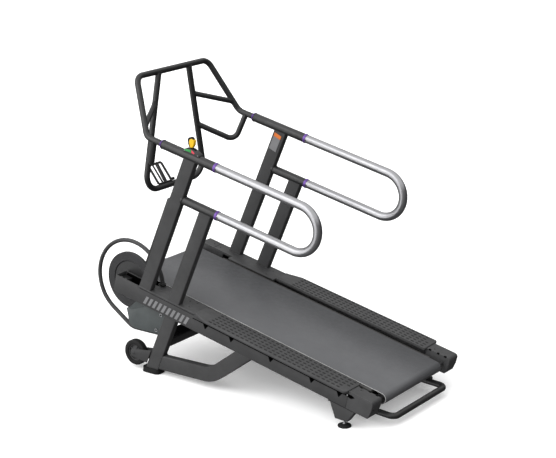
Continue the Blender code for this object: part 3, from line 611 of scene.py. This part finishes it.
# A near-black strip painted as the shade in the seam between the two covers.
seam = bmesh.new()
block(seam, (0.0018, 0.084, 0.0010), at(-0.713, 0.374, 0.0) @ Matrix.Rotation(0.06, 4, "Z"), 0.0002)
piece("cover_seam_painted_shade", seam, "painted_shade", place=DECK)

# ---------------------------------------------------------------- belt, deck and rollers
AXLE_LINE = REAR_AXLE - FRONT_AXLE
AXLE_SLOPE = atan2(-AXLE_LINE.z, AXLE_LINE.x)
TAPER = asin((FRONT_BELT_R - REAR_BELT_R) / AXLE_LINE.length)


def belt_outline(inset):
    top = 90 - (AXLE_SLOPE + TAPER) * 180 / pi
    low = 270 - (AXLE_SLOPE - TAPER) * 180 / pi
    front = arc((FRONT_AXLE.x, FRONT_AXLE.z), FRONT_BELT_R - inset, top, low, 40)
    rear = arc((REAR_AXLE.x, REAR_AXLE.z), REAR_BELT_R - inset, low - 360, top, 40)
    return front + rear


def belt():
    """The endless band, with its cut edges in a pale second material: partly the lighter ply, partly a
    painted highlight.
    """
    work = bmesh.new()
    chamfer = 0.0006
    section = [
        (0.0, BELT_HALF - chamfer), (chamfer, BELT_HALF), (BELT_THICK - chamfer, BELT_HALF),
        (BELT_THICK, BELT_HALF - chamfer), (BELT_THICK, chamfer - BELT_HALF),
        (BELT_THICK - chamfer, -BELT_HALF), (chamfer, -BELT_HALF), (0.0, chamfer - BELT_HALF),
    ]
    loops = []
    for inset, y in section:
        loops.append([work.verts.new((x, y, z)) for x, z in belt_outline(inset)])
    for first, second in zip(loops, loops[1:] + loops[:1]):
        skin(work, first, second)
    # The side faces take the pale second material: the lighter ply and a painted highlight along the edge.
    for face in work.faces:
        if abs(face.calc_center_median().y) > BELT_HALF / 2:
            face.material_index = 1
    band = piece("running_belt_fine", work, "belt_rubber", stands_for=("running_belt",), crease=50)
    band.data.materials.append(LOOKS["belt_edge_ply_and_highlight"])


belt()
polish("deck_board", "deck_laminate", 0.0010)
polish("deck_frame", "black_paint", 0.0010)


def roller(name, axle, drum_r, shaft_r, shaft_half, body):
    """A drum with end discs on its shaft."""
    half = [(0, shaft_half), (shaft_r - 0.001, shaft_half), (shaft_r, shaft_half - 0.001),
            (shaft_r, ROLLER_HALF - 0.006), (drum_r * 0.72, ROLLER_HALF - 0.006),
            (drum_r * 0.78, ROLLER_HALF),
            (drum_r - 0.001, ROLLER_HALF), (drum_r, ROLLER_HALF - 0.001)]
    work = bmesh.new()
    turned(work, half + [(r, -h) for r, h in reversed(half)], steps=96)
    piece(f"{name}_fine", work, "dark_steel", body, Matrix.Translation(axle) @ SIDEWAYS, (name,))


roller("front_roller", FRONT_AXLE, FRONT_BELT_R - BELT_THICK - 0.0005, SHAFT_R, 0.405, "flywheel_shaft")
roller("rear_roller", REAR_AXLE, REAR_BELT_R - BELT_THICK - 0.0005, REAR_SHAFT_R, 0.345, "rear_roller")

HALF = 0.0095
WHEEL_FACE = Matrix.Translation(shift_y(FRONT_AXLE, FLYWHEEL_Y)) @ SIDEWAYS
side_profile = [
    (SHAFT_R + GAP, HALF), (0.030, HALF), (0.032, HALF - 0.002), (0.033, 0.0045), (0.036, 0.004),
    (FLYWHEEL_RIM - 0.004, 0.004), (FLYWHEEL_RIM - 0.001, 0.0055), (FLYWHEEL_RIM, HALF - 0.001),
    (FLYWHEEL_RIM + 0.001, HALF), (FLYWHEEL_R - 0.002, HALF), (FLYWHEEL_R, HALF - 0.002),
]
work = bmesh.new()
turned(work, side_profile + [(r, -h) for r, h in reversed(side_profile)], steps=160, closed=True)
piece("flywheel_fine", work, "flywheel_iron", "flywheel_shaft", WHEEL_FACE, ("flywheel",))
work = bmesh.new()
for way in (-1, 1):
    disc = [(0.037, 0.0041), (0.037, 0.0050), (0.106, 0.0050), (0.107, 0.0041)]
    turned(work, [(r, way * h) for r, h in disc], steps=128, closed=True)
piece("flywheel_web_paint", work, "black_paint", "flywheel_shaft", WHEEL_FACE)
work = bmesh.new()
for i in range(6):
    spot = at(0.0235 * cos(pi * i / 3), 0.0235 * sin(pi * i / 3), HALF)
    button_screw(work, spot, 0.0036, 0.0022)
turned(work, [(0.0165, HALF), (0.0165, HALF + 0.0025), (SHAFT_R + GAP, HALF + 0.0025)], steps=48)
piece("flywheel_hub_screws", work, "bright_steel", "flywheel_shaft", WHEEL_FACE)

for side, way in SIDES:
    polish(f"front_bearing_{side}", "black_paint", 0.0012)
    bolts = bmesh.new()
    top = at(FRONT_AXLE.x, way * 0.374, FRONT_AXLE.z) @ Matrix.Rotation(INCLINE, 4, "Y") @ at(0, 0, 0.030)
    for x in (-0.016, 0.016):
        hex_bolt(bolts, top @ at(x, way * 0.012, 0), 0.0062, 0.0060)
    piece(f"bearing_bolts_{side}", bolts, "bright_steel")


# ---------------------------------------------------------------- posts, legs and braces
def leaning(post, y, length):
    work = bmesh.new()
    block(work, (POST_DEEP, POST_WIDE, length), Matrix.Translation(shift_y(post, y)) @ LEAN, 0.006, 5)
    return work


HAND_DROP = 0.013
UNDER_RAIL = Vector((0, 0, DECK_HEIGHT)) - DECK_UP * (RAIL_DEPTH + GAP)
OVER_DECK = Vector((0, 0, DECK_HEIGHT)) + DECK_UP * GAP
PAD_TOP = 0.028
DOWN = Vector((0, 0, -1))

for side, way in SIDES:
    y = way * POST_Y
    for name, post, ring, length in (("front_post", FRONT_POST, UPPER_RING, 0.98),
                                     ("rear_post", REAR_POST, LOWER_RING, 0.72)):
        work = leaning(post, y, length)
        cut(work, OVER_DECK, -DECK_UP)
        cut(work, shift_y(ring, 0) - HAND_UP * HAND_DROP, HAND_UP)
        piece(f"{name}_{side}_fine", work, "grey_paint", stands_for=(f"{name}_{side}",))
    work = leaning(LEG, y, 0.50)
    cut(work, Vector((0, 0, PAD_TOP + GAP)), DOWN)
    cut(work, UNDER_RAIL, DECK_UP)
    piece(f"front_leg_{side}_fine", work, "grey_paint", stands_for=(f"front_leg_{side}",))

    work = bmesh.new()
    place = at(-0.5535, way * 0.389, PAD_TOP / 2)
    for grow, thick, z, rim in ((0.0, PAD_TOP, 0.0, 0.007), (0.0015, 0.008, -0.0095, 0.003)):
        corners = ((0.033, 0.012, 0), (-0.033, 0.012, 90), (-0.033, -0.012, 180), (0.033, -0.012, 270))
        outline = [p for x, dy, turn in corners for p in arc((x, dy), 0.0245 + grow, turn, turn + 90, 10)]
        prism(work, outline, thick, place @ at(0, 0, z), rim, 4)
    piece(f"foot_pad_{side}_fine", work, "black_rubber", stands_for=(f"foot_pad_{side}",))

    upper = bent([(-0.60, 0, 0.1135), (-0.146, 0, 0.1215), (0.318, 0, 0.475)], 0.12)
    lower = bent([(-0.60, 0, 0.0275), (-0.120, 0, 0.0405), (0.34, 0, 0.385)], 0.19)
    work = bmesh.new()
    outline = [(p.x, p.z) for p in upper] + [(p.x, p.z) for p in reversed(lower)]
    prism(work, outline, 0.042, at(0, y, 0) @ SIDEWAYS, 0.014, 6)
    cut(work, UNDER_RAIL, DECK_UP)
    cut(work, LEG + POST_BACK * (POST_DEEP / 2 + GAP), -POST_BACK)
    piece(f"brace_tube_{side}_fine", work, "grey_paint", stands_for=(f"brace_tube_{side}",), crease=40)

    beads = bmesh.new()
    leg_face = LEG + POST_BACK * (POST_DEEP / 2)
    low_z, high_z = 0.031, 0.117
    corners = []
    for z, dy in ((low_z, -0.019), (low_z, 0.019), (high_z, 0.019), (high_z, -0.019)):
        corners.append(Vector((leg_face.x + (z - leg_face.z) * tan(POST_LEAN), y + dy, z)))
    loop = []
    for i in range(4):
        a, b = corners[i], corners[(i + 1) % 4]
        loop += [a.lerp(b, k / 14) for k in range(14)]
    sweep(beads, loop, [0.0026 * (1 + 0.1 * cos(2 * pi * k / 3)) for k in range(len(loop))], 8, True)
    piece(f"brace_weld_{side}", beads, "weld")

work = bmesh.new()
cross = at(on_post(LEG, 0.200), 0, 0.200) @ LEAN
block(work, (0.070, 2 * (POST_Y - POST_WIDE / 2 - GAP), 0.065), cross, 0.010, 5)
piece("leg_cross_member_fine", work, "black_paint", stands_for=("leg_cross_member",))

# ---------------------------------------------------------------- handrails
ROD = Matrix.Rotation(HAND_SLOPE + pi / 2, 4, "Y")
SPAN = (UPPER_RING - FRONT_RING).length
LOOP_MIDDLE = hand_line((UPPER_RING + LOWER_RING) / 2, LOOP_CENTRE_X)
LOOP_R = (UPPER_RING - LOWER_RING).z * cos(HAND_SLOPE) / 2


def collar(name, ring, y, front_r, rear_r):
    """An anodised ring with two turned grooves."""
    half = RING_HALF - GAP
    profile = [(0, half), (rear_r - 0.0012, half), (rear_r - 0.0003, half - 0.0004), (rear_r, half - 0.0012)]
    for h in (0.0026, -0.0016):
        mid = front_r + (rear_r - front_r) * (h + half) / (2 * half)
        floor_r = mid - 0.0006
        profile += [(mid, h + 0.0006), (floor_r, h + 0.0003), (floor_r, h - 0.0003), (mid, h - 0.0006)]
    profile += [(front_r, -half + 0.0012), (front_r - 0.0003, -half + 0.0004)]
    profile += [(front_r - 0.0012, -half), (0, -half)]
    work = bmesh.new()
    turned(work, profile, steps=72)
    place = Matrix.Translation(shift_y(ring, y)) @ ROD
    piece(f"{name}_fine", work, "purple_anodised", place=place, stands_for=(name,))


def lower_front(z_ring):
    return on_post(FRONT_POST, hand_line(z_ring, -0.36)) + 0.028


for side, way in SIDES:
    y = way * HAND_Y
    work = bmesh.new()
    ends = [ring_point(FRONT_RING, RING_HALF, y), ring_point(FRONT_RING, SPAN - RING_HALF, y)]
    sweep(work, ends, GRIP_R, 48)
    piece(f"upper_grip_{side}_fine", work, "black_paint", stands_for=(f"upper_grip_{side}",))

    work = bmesh.new()
    start = lower_front(LOWER_RING)
    front = Vector((start, y, hand_line(LOWER_RING, start)))
    sweep(work, [front, ring_point(LOWER_RING, -RING_HALF, y)], RAIL_TUBE_R, 48)
    piece(f"lower_rail_{side}_fine", work, "black_paint", stands_for=(f"lower_rail_{side}",))

    bow = arc((LOOP_CENTRE_X, LOOP_MIDDLE), LOOP_R, 90 - 11.9, -90 - 11.9, 64)
    upper_run = [ring_point(UPPER_RING, RING_HALF, y)]
    lower_run = [ring_point(LOWER_RING, RING_HALF, y)]
    work = bmesh.new()
    sweep(work, upper_run + [Vector((x, y, z)) for x, z in bow] + lower_run, RAIL_TUBE_R, 48)
    piece(f"steel_loop_{side}_fine", work, "satin_steel", stands_for=(f"steel_loop_{side}",))

    collar(f"collar_front_{side}", FRONT_RING, y, 0.0185, 0.0265)
    collar(f"collar_upper_{side}", UPPER_RING, y, 0.0268, 0.0250)
    collar(f"collar_lower_{side}", LOWER_RING, y, 0.0268, 0.0250)

    work = bmesh.new()
    for ring in (UPPER_RING, LOWER_RING):
        spot = ring_point(ring, RING_HALF + 0.006, y)
        for turn in (-1, 1):
            head = spot + Vector((0, turn * (RAIL_TUBE_R - 0.0012), 0))
            button_screw(work, Matrix.Translation(head) @ facing(turn), 0.0046)
    for along in (0.035, 0.075, 0.100, 0.315, 0.338):
        spot = ring_point(FRONT_RING, along, y) - HAND_UP * (GRIP_R - 0.0008)
        downwards = Matrix.Rotation(pi + HAND_SLOPE, 4, "Y")
        button_screw(work, Matrix.Translation(spot) @ downwards, 0.0050, 0.0028)
    piece(f"handrail_screws_{side}", work, "black_rubber")

    beads = bmesh.new()
    rear_plane = FRONT_POST + POST_BACK * (POST_DEEP / 2)
    weld(beads, shift_y(LOWER_RING, y), -HAND_BACK, RAIL_TUBE_R, to_plane(rear_plane, POST_BACK))
    piece(f"lower_rail_weld_{side}", beads, "weld")

# The strip on the front face of the left front post and the plain label on the right one's inner face.
work = bmesh.new()
strip = Matrix.Translation(shift_y(FRONT_POST, -POST_Y) - POST_BACK * (POST_DEEP / 2 + 0.0006)) @ LEAN
block(work, (0.028, 0.026, 0.425), strip @ at(0, 0, -0.075), 0.004)
piece("post_strip", work, "black_paint")
inner = Matrix.Translation(shift_y(FRONT_POST, POST_Y - POST_WIDE / 2 - 0.0003)) @ LEAN
LABEL = (("label_band", "orange", 0.022, 0.3765), ("label_field", "label_grey", 0.080, 0.3248))
for name, look, high, z in LABEL:
    work = bmesh.new()
    block(work, (0.048, 0.0008, high), inner @ at(-0.004, 0, z), 0.0002, 1)
    piece(name, work, look)

# ---------------------------------------------------------------- front frame
FRAME_BEND = Vector((-0.556, HAND_Y, hand_line(UPPER_RING, -0.556)))
FRAME_START = ring_point(FRONT_RING, -RING_HALF, HAND_Y)
front_path = bent(mirrored([FRAME_START, FRAME_BEND, TOP_CORNER]), [0.055, 0.060, 0.060, 0.055])
inner_path = bent(mirrored([INNER_TOP, INNER_BOTTOM]), 0.085)
for name, path in (("front_loop", front_path), ("inner_loop", inner_path)):
    work = bmesh.new()
    sweep(work, path, FRAME_TUBE_R, 40)
    piece(f"{name}_fine", work, "black_paint", stands_for=(name,))

UPPER_BRACE_IN = Vector((-0.6967, 0.159, 1.4345))
UPPER_BRACE_OUT = Vector((-0.5823, 0.3790, 1.3640))
HOOK_IN = Vector((-0.6978, 0.196, 1.2545))
HOOK_BEND = Vector((-0.5617, 0.3621, 1.1465))
HOOK_OUT = Vector((-0.507, 0.396, hand_line(UPPER_RING, -0.507)))
beads = bmesh.new()
for side, way in SIDES:
    flip = Vector((1, way, 1))
    strut = [UPPER_BRACE_IN * flip, UPPER_BRACE_OUT * flip]
    hook = bent([HOOK_IN * flip, HOOK_BEND * flip, HOOK_OUT * flip], 0.045)
    for name, path, radius in (("upper_brace", strut, BRACE_TUBE_R), ("lower_brace", hook, HOOK_TUBE_R)):
        work = bmesh.new()
        sweep(work, path, radius, 36)
        piece(f"{name}_{side}_fine", work, "black_paint", stands_for=(f"{name}_{side}",))
    inner_axis = (INNER_BOTTOM - INNER_TOP) * flip
    outer_axis = (TOP_CORNER - FRAME_BEND) * flip
    inner_tube = to_tube(INNER_TOP * flip, inner_axis, FRAME_TUBE_R)
    outer_tube = to_tube(TOP_CORNER * flip, outer_axis, FRAME_TUBE_R)
    top_tube = to_tube(TOP_CORNER, Vector((0, 1, 0)), FRAME_TUBE_R)
    hand_tube = to_tube(shift_y(UPPER_RING, way * HAND_Y), HAND_BACK, FRAME_TUBE_R)
    middle = (strut[0] + strut[1]) / 2
    weld(beads, middle, strut[0] - strut[1], BRACE_TUBE_R, inner_tube, 0.0020)
    weld(beads, middle, strut[1] - strut[0], BRACE_TUBE_R, outer_tube, 0.0020)
    weld(beads, hook[1], hook[0] - hook[1], HOOK_TUBE_R, inner_tube, 0.0020)
    weld(beads, hook[-2], hook[-1] - hook[-2], HOOK_TUBE_R, hand_tube, 0.0020)
    below_top = (INNER_TOP * flip).lerp(INNER_BOTTOM * flip, 0.3)
    weld(beads, below_top, -inner_axis, FRAME_TUBE_R, top_tube, 0.0020)
piece("front_frame_welds", beads, "weld")

# ---------------------------------------------------------------- rack
rack_low = Vector((-0.6997, -0.034, INNER_BOTTOM.z + FRAME_TUBE_R + 0.0053))
rack_top = Vector((-0.7647, -0.044, INNER_BOTTOM.z + 0.116))
rack_wide = Vector((0, -0.107, 0))
slope = rack_top - rack_low
work = bmesh.new()
sweep(work, bent([rack_low, rack_top, rack_top + rack_wide, rack_low + rack_wide], 0.012, 10), 0.0068, 20)
sweep(work, [rack_low, rack_low + rack_wide], 0.0044, 20)
sweep(work, [rack_low + rack_wide * 0.68, rack_low + rack_wide * 0.68 + slope], 0.0052, 20)
flat = rack_low + rack_wide * 0.40
tilt = Matrix.Rotation(atan2(slope.x, slope.z), 4, "Y")
block(work, (0.007, 0.0250, slope.length), Matrix.Translation(flat + slope / 2) @ tilt, 0.0015)
piece("phone_rack_fine", work, "black_paint", stands_for=("phone_rack",))
work = bmesh.new()
knob = [(0, 0.012), (0.0062, 0.012), (0.0080, 0.0100), (0.0083, 0.004), (0.0074, 0.002), (0.0083, 0.0),
        (0.0083, -0.008), (0.0068, -0.011), (0, -0.011)]
turned(work, knob, Matrix.Translation(rack_low + Vector((0, 0.011, 0.0055))) @ SIDEWAYS, 40)
piece("rack_knob", work, "black_rubber")


# ---------------------------------------------------------------- flywheel guard, brake and lever
def guard_path():
    over = arc((-0.772, 0.458), 0.228, 4.0, 213, 80)
    ring = [Vector((x, GUARD_Y, z)) for x, z in over]
    corners = [ring[-1], (-0.9306, GUARD_Y, 0.2941), (-0.7702, GUARD_Y, 0.188), (-0.5142, GUARD_Y, 0.192)]
    return ring + bent(corners, [0.240, 0.100])[1:]


guard = guard_path()
work = bmesh.new()
sweep(work, guard, GUARD_TUBE_R, 36)
piece("flywheel_guard_fine", work, "grey_paint", stands_for=("flywheel_guard",))
beads = bmesh.new()
cross_front = Vector((on_post(LEG, 0.200), 0, 0.200)) - POST_BACK * 0.035
weld(beads, guard[-2], guard[-1] - guard[-2], GUARD_TUBE_R, to_plane(cross_front, POST_BACK), 0.0018)
piece("guard_weld", beads, "weld")
work = bmesh.new()
foot = Matrix.Translation(guard[0]) @ Matrix.Rotation(INCLINE, 4, "Y")
boot = [(0, 0.006), (0.0165, 0.006), (0.0185, 0.004), (0.0185, -0.003), (0, -0.003)]
turned(work, boot, foot @ at(0, 0, 0.004), 48)
piece("guard_foot", work, "black_rubber")

polish("brake_housing", "brake_cover", 0.0012)
polish("brake_magnet", "bright_steel", 0.0008, body="brake_magnet")
BRAKE_FACE = -0.323 - 0.047
BRAKE_BOLTS = ((-0.509, 0.327), (-0.546, 0.2345))
work = bmesh.new()
band = [(-0.6585, 0.3950), (-0.4975, 0.3625), (-0.5075, 0.3300), (-0.5400, 0.3360), (-0.6300, 0.3560)]
prism(work, band, 0.0030, at(0, BRAKE_FACE - 0.0008, 0) @ SIDEWAYS, 0.0010)
piece("brake_cover_band", work, "brake_cover")
work = bmesh.new()
for x, z in BRAKE_BOLTS:
    washer = [(0.0095, 0.0), (0.0095, 0.0014), (0.0060, 0.0014)]
    turned(work, washer, at(x, BRAKE_FACE - 0.0018, z) @ facing(-1), 40)
piece("brake_bolt_rings", work, "bright_steel")
work = bmesh.new()
for x, z in BRAKE_BOLTS:
    button_screw(work, at(x, BRAKE_FACE - 0.0020, z) @ facing(-1), 0.0064, 0.0036)
piece("brake_bolts", work, "black_paint")
work = bmesh.new()
neck = [(-0.739, 0.3207), (-0.6706, 0.3855), (-0.660, 0.398)]
neck += [(-0.600, 0.390), (-0.600, 0.360), (-0.720, 0.315)]
prism(work, neck, 0.0040, at(0, BRAKE_FACE + 0.0016, 0) @ SIDEWAYS, 0.0010)
piece("brake_cover_neck", work, "brake_cover")

SHIFTER = at(-0.2575, -HAND_Y, hand_line(UPPER_RING, -0.2575)) @ Matrix.Rotation(HAND_SLOPE, 4, "Y")
polish("shifter_housing", "black_paint", 0.0012)
LIGHT_END = ((-0.044, 0.0265), (-0.041, 0.0335), (-0.020, 0.0400), (0.002, 0.0435), (0.006, 0.029))
HARD_END = ((0.0038, 0.0435), (0.0190, 0.0395), (0.0280, 0.0330), (0.0220, 0.0270), (0.0078, 0.029))
for name, look, outline in (("scale_green", "green", LIGHT_END), ("scale_red", "red", HARD_END)):
    work = bmesh.new()
    prism(work, outline, 0.0012, SHIFTER @ at(0, -0.0184, 0) @ SIDEWAYS, 0.0004, 2)
    piece(name, work, look)
work = bmesh.new()
for x in (-0.040, 0.048):
    button_screw(work, SHIFTER @ at(x, -0.018, 0.026) @ facing(-1), 0.0030, 0.0016)
piece("shifter_screws", work, "bright_steel")

LEVER = SHIFTER @ at(-0.0077, 0.002, GRIP_R + 0.012) @ Matrix.Rotation(-HAND_SLOPE, 4, "Y")
work = bmesh.new()
stem = [(-0.0050, -0.002), (0.0050, -0.002), (0.009, 0.030), (-0.009, 0.030)]
prism(work, stem, 0.009, LEVER @ SIDEWAYS, 0.001)
shell = arc((-0.001, 0.049), 0.0190, 0, 180, 28)
shell += [(-0.0195, 0.032), (-0.012, 0.014), (0.010, 0.014), (0.017, 0.030)]
prism(work, shell, 0.017, LEVER @ SIDEWAYS, 0.0030, 5)
piece("lever_body", work, "black_rubber", "resistance_lever", stands_for=("resistance_lever",))
work = bmesh.new()
pad = arc((0.0065, 0.0450), 0.0150, 0, 180, 28)
pad += [(-0.0080, 0.031), (-0.0045, 0.013), (0.0105, 0.013), (0.0210, 0.030)]
prism(work, pad, 0.0205, LEVER @ SIDEWAYS, 0.0032, 5)
piece("lever_pad", work, "yellow_plastic", "resistance_lever")


# ---------------------------------------------------------------- wheels, feet and rear handle
def wheel(side, way):
    """A grooved tyre on a spoked hub with bearing caps."""
    hub = Matrix.Translation(shift_y(WHEEL_HUB, way * POST_Y)) @ SIDEWAYS
    body = f"transport_wheel_{side}"
    half = [(0.0465, 0.0185), (0.048, 0.019), (WHEEL_R - 0.007, 0.019), (WHEEL_R - 0.002, 0.0165),
            (WHEEL_R, 0.013), (WHEEL_R, 0.0062), (WHEEL_R - 0.0016, 0.0056), (WHEEL_R - 0.0016, 0.0044),
            (WHEEL_R, 0.0038)]
    work = bmesh.new()
    turned(work, half + [(r, -h) for r, h in reversed(half)], steps=112, closed=True)
    piece(f"tyre_{side}", work, "black_rubber", body, hub, (f"transport_wheel_{side}",))
    work = bmesh.new()
    rim = [(0.0405, 0.0125), (0.0415, 0.0135), (0.0450, 0.0135), (0.0464, 0.0125)]
    turned(work, rim + [(r, -h) for r, h in reversed(rim)], steps=96, closed=True)
    core = [(0.0063, 0.0168), (0.0120, 0.0168), (0.0130, 0.0158), (0.0135, 0.0100), (0.0405, 0.0030)]
    turned(work, core + [(r, -h) for r, h in reversed(core)], steps=96, closed=True)
    for i in range(5):
        spoke = Matrix.Rotation(2 * pi * i / 5, 4, "Z") @ at(0.0265, 0, 0)
        block(work, (0.030, 0.0075, 0.0215), spoke, 0.0015)
    piece(f"wheel_hub_{side}", work, "grey_plastic", body, hub)


def fork(side, way):
    polish(f"wheel_bracket_{side}", "grey_paint", 0.0010)
    work = bmesh.new()
    for turn in (-1, 1):
        spot = Matrix.Translation(shift_y(WHEEL_HUB, way * POST_Y + turn * 0.0248)) @ facing(turn)
        turned(work, [(0.0105, 0.0), (0.0105, 0.0012), (0.0060, 0.0012)], spot, 40)
        button_screw(work, spot @ at(0, 0, 0.0010), 0.0078, 0.0042)
    piece(f"wheel_bolts_{side}", work, "dark_steel")


def rear_foot(side, way):
    polish(f"foot_bracket_{side}", "grey_paint", 0.0012)
    y = way * FOOT.y
    body = f"leveling_foot_{side}"
    work = bmesh.new()
    base = [(0, 0.0125), (0.0135, 0.0125), (0.0155, 0.0118), (0.0300, 0.0102), (0.0338, 0.0080),
            (0.0350, 0.0055), (0.0350, 0.0035), (0.0343, 0.0030), (0.0350, 0.0024),
            (0.0350, 0.0010), (0.0342, 0.0), (0, 0.0)]
    turned(work, base, at(FOOT.x, y, 0), 80)
    piece(f"foot_disc_{side}", work, "black_rubber", body, stands_for=(body,))
    work = bmesh.new()
    stud = [(0, 0.070), (0.0040, 0.070)]
    for i in range(24):
        z = 0.0685 - 0.002 * i
        stud += [(0.0050, z), (0.0043, z - 0.001)]
    turned(work, stud + [(0.0050, 0.0205), (0.0050, 0.012), (0, 0.012)], at(FOOT.x, y, 0), 32)
    nut = [(0.0095 * cos(pi * i / 3), 0.0095 * sin(pi * i / 3)) for i in range(6)]
    prism(work, nut, 0.0075, at(FOOT.x, y, 0.0165), 0.0009, 2)
    piece(f"foot_stud_{side}", work, "bright_steel", body)


for side, way in SIDES:
    wheel(side, way)
    fork(side, way)
    rear_foot(side, way)

HANDLE_ROOT = Vector((0.590, 0.372, 0.1190))
HANDLE_KNEE = Vector((0.745, 0.2495, 0.058))
HANDLE_CORNER = Vector((0.905, 0.2495, 0.049))
work = bmesh.new()
handle = bent(mirrored([HANDLE_ROOT, HANDLE_KNEE, HANDLE_CORNER]), [0.060, 0.034, 0.034, 0.060])
sweep(work, handle, HANDLE_TUBE_R, 40)
piece("rear_handle_fine", work, "black_paint", stands_for=("rear_handle",))

# ---------------------------------------------------------------- floor, lights and camera
floor_mesh = bpy.data.meshes.new("floor")
work = bmesh.new()
bmesh.ops.create_grid(work, x_segments=2, y_segments=2, size=60.0)
work.to_mesh(floor_mesh)
work.free()
floor = bpy.data.objects.new("floor", floor_mesh)
pale = finish("pale_floor", (0.90, 0.90, 0.90), 0.9, speckle, 0.0, specular=0.0, mottle=0.0)
pale.node_tree.nodes["Principled BSDF"].inputs["Emission Color"].default_value = (1.0, 1.0, 1.0, 1.0)
pale.node_tree.nodes["Principled BSDF"].inputs["Emission Strength"].default_value = 0.20
floor_mesh.materials.append(pale)
scene.collection.objects.link(floor)
floor.visible_glossy = False
floor.visible_diffuse = False


def sun(name, strength, spread, tilt, heading):
    """A distant light from a heading, in degrees from +X towards +Y, at a height of 90 less its tilt."""
    data = bpy.data.lights.new(name, "SUN")
    data.energy = strength
    data.angle = radians(spread)
    obj = bpy.data.objects.new(name, data)
    obj.rotation_euler = (0, radians(tilt), radians(heading))
    scene.collection.objects.link(obj)


sun("key", 3.3, 80, 72, -115)
sun("top", 3.1, 130, 6, -60)

world = bpy.data.worlds.new("studio")
world.use_nodes = True
sky = world.node_tree
way_up = add(sky, "ShaderNodeTexCoord").outputs["Generated"]
lean_to = add(sky, "ShaderNodeVectorMath", {1: (-0.10, -0.16, 0.06)}, operation="DOT_PRODUCT")
sky.links.new(way_up, lean_to.inputs[0])
sky.links.new(ranged(sky, lean_to.outputs["Value"], -0.2, 0.2, 0.09, 0.41), sky.nodes["Background"].inputs[1])
sky.nodes["Background"].inputs[0].default_value = (1.0, 1.0, 1.0, 1.0)
scene.world = world
scene.view_settings.view_transform = "Standard"

camera_data = bpy.data.cameras.new("camera")
camera_data.lens = 104.86
camera_data.sensor_width = 36.0
camera = bpy.data.objects.new("camera", camera_data)
camera.location = (4.8951, -6.6582, 3.2731)
camera.rotation_euler = (radians(90 - 16.629), 0, radians(36.0625))
scene.collection.objects.link(camera)
scene.camera = camera
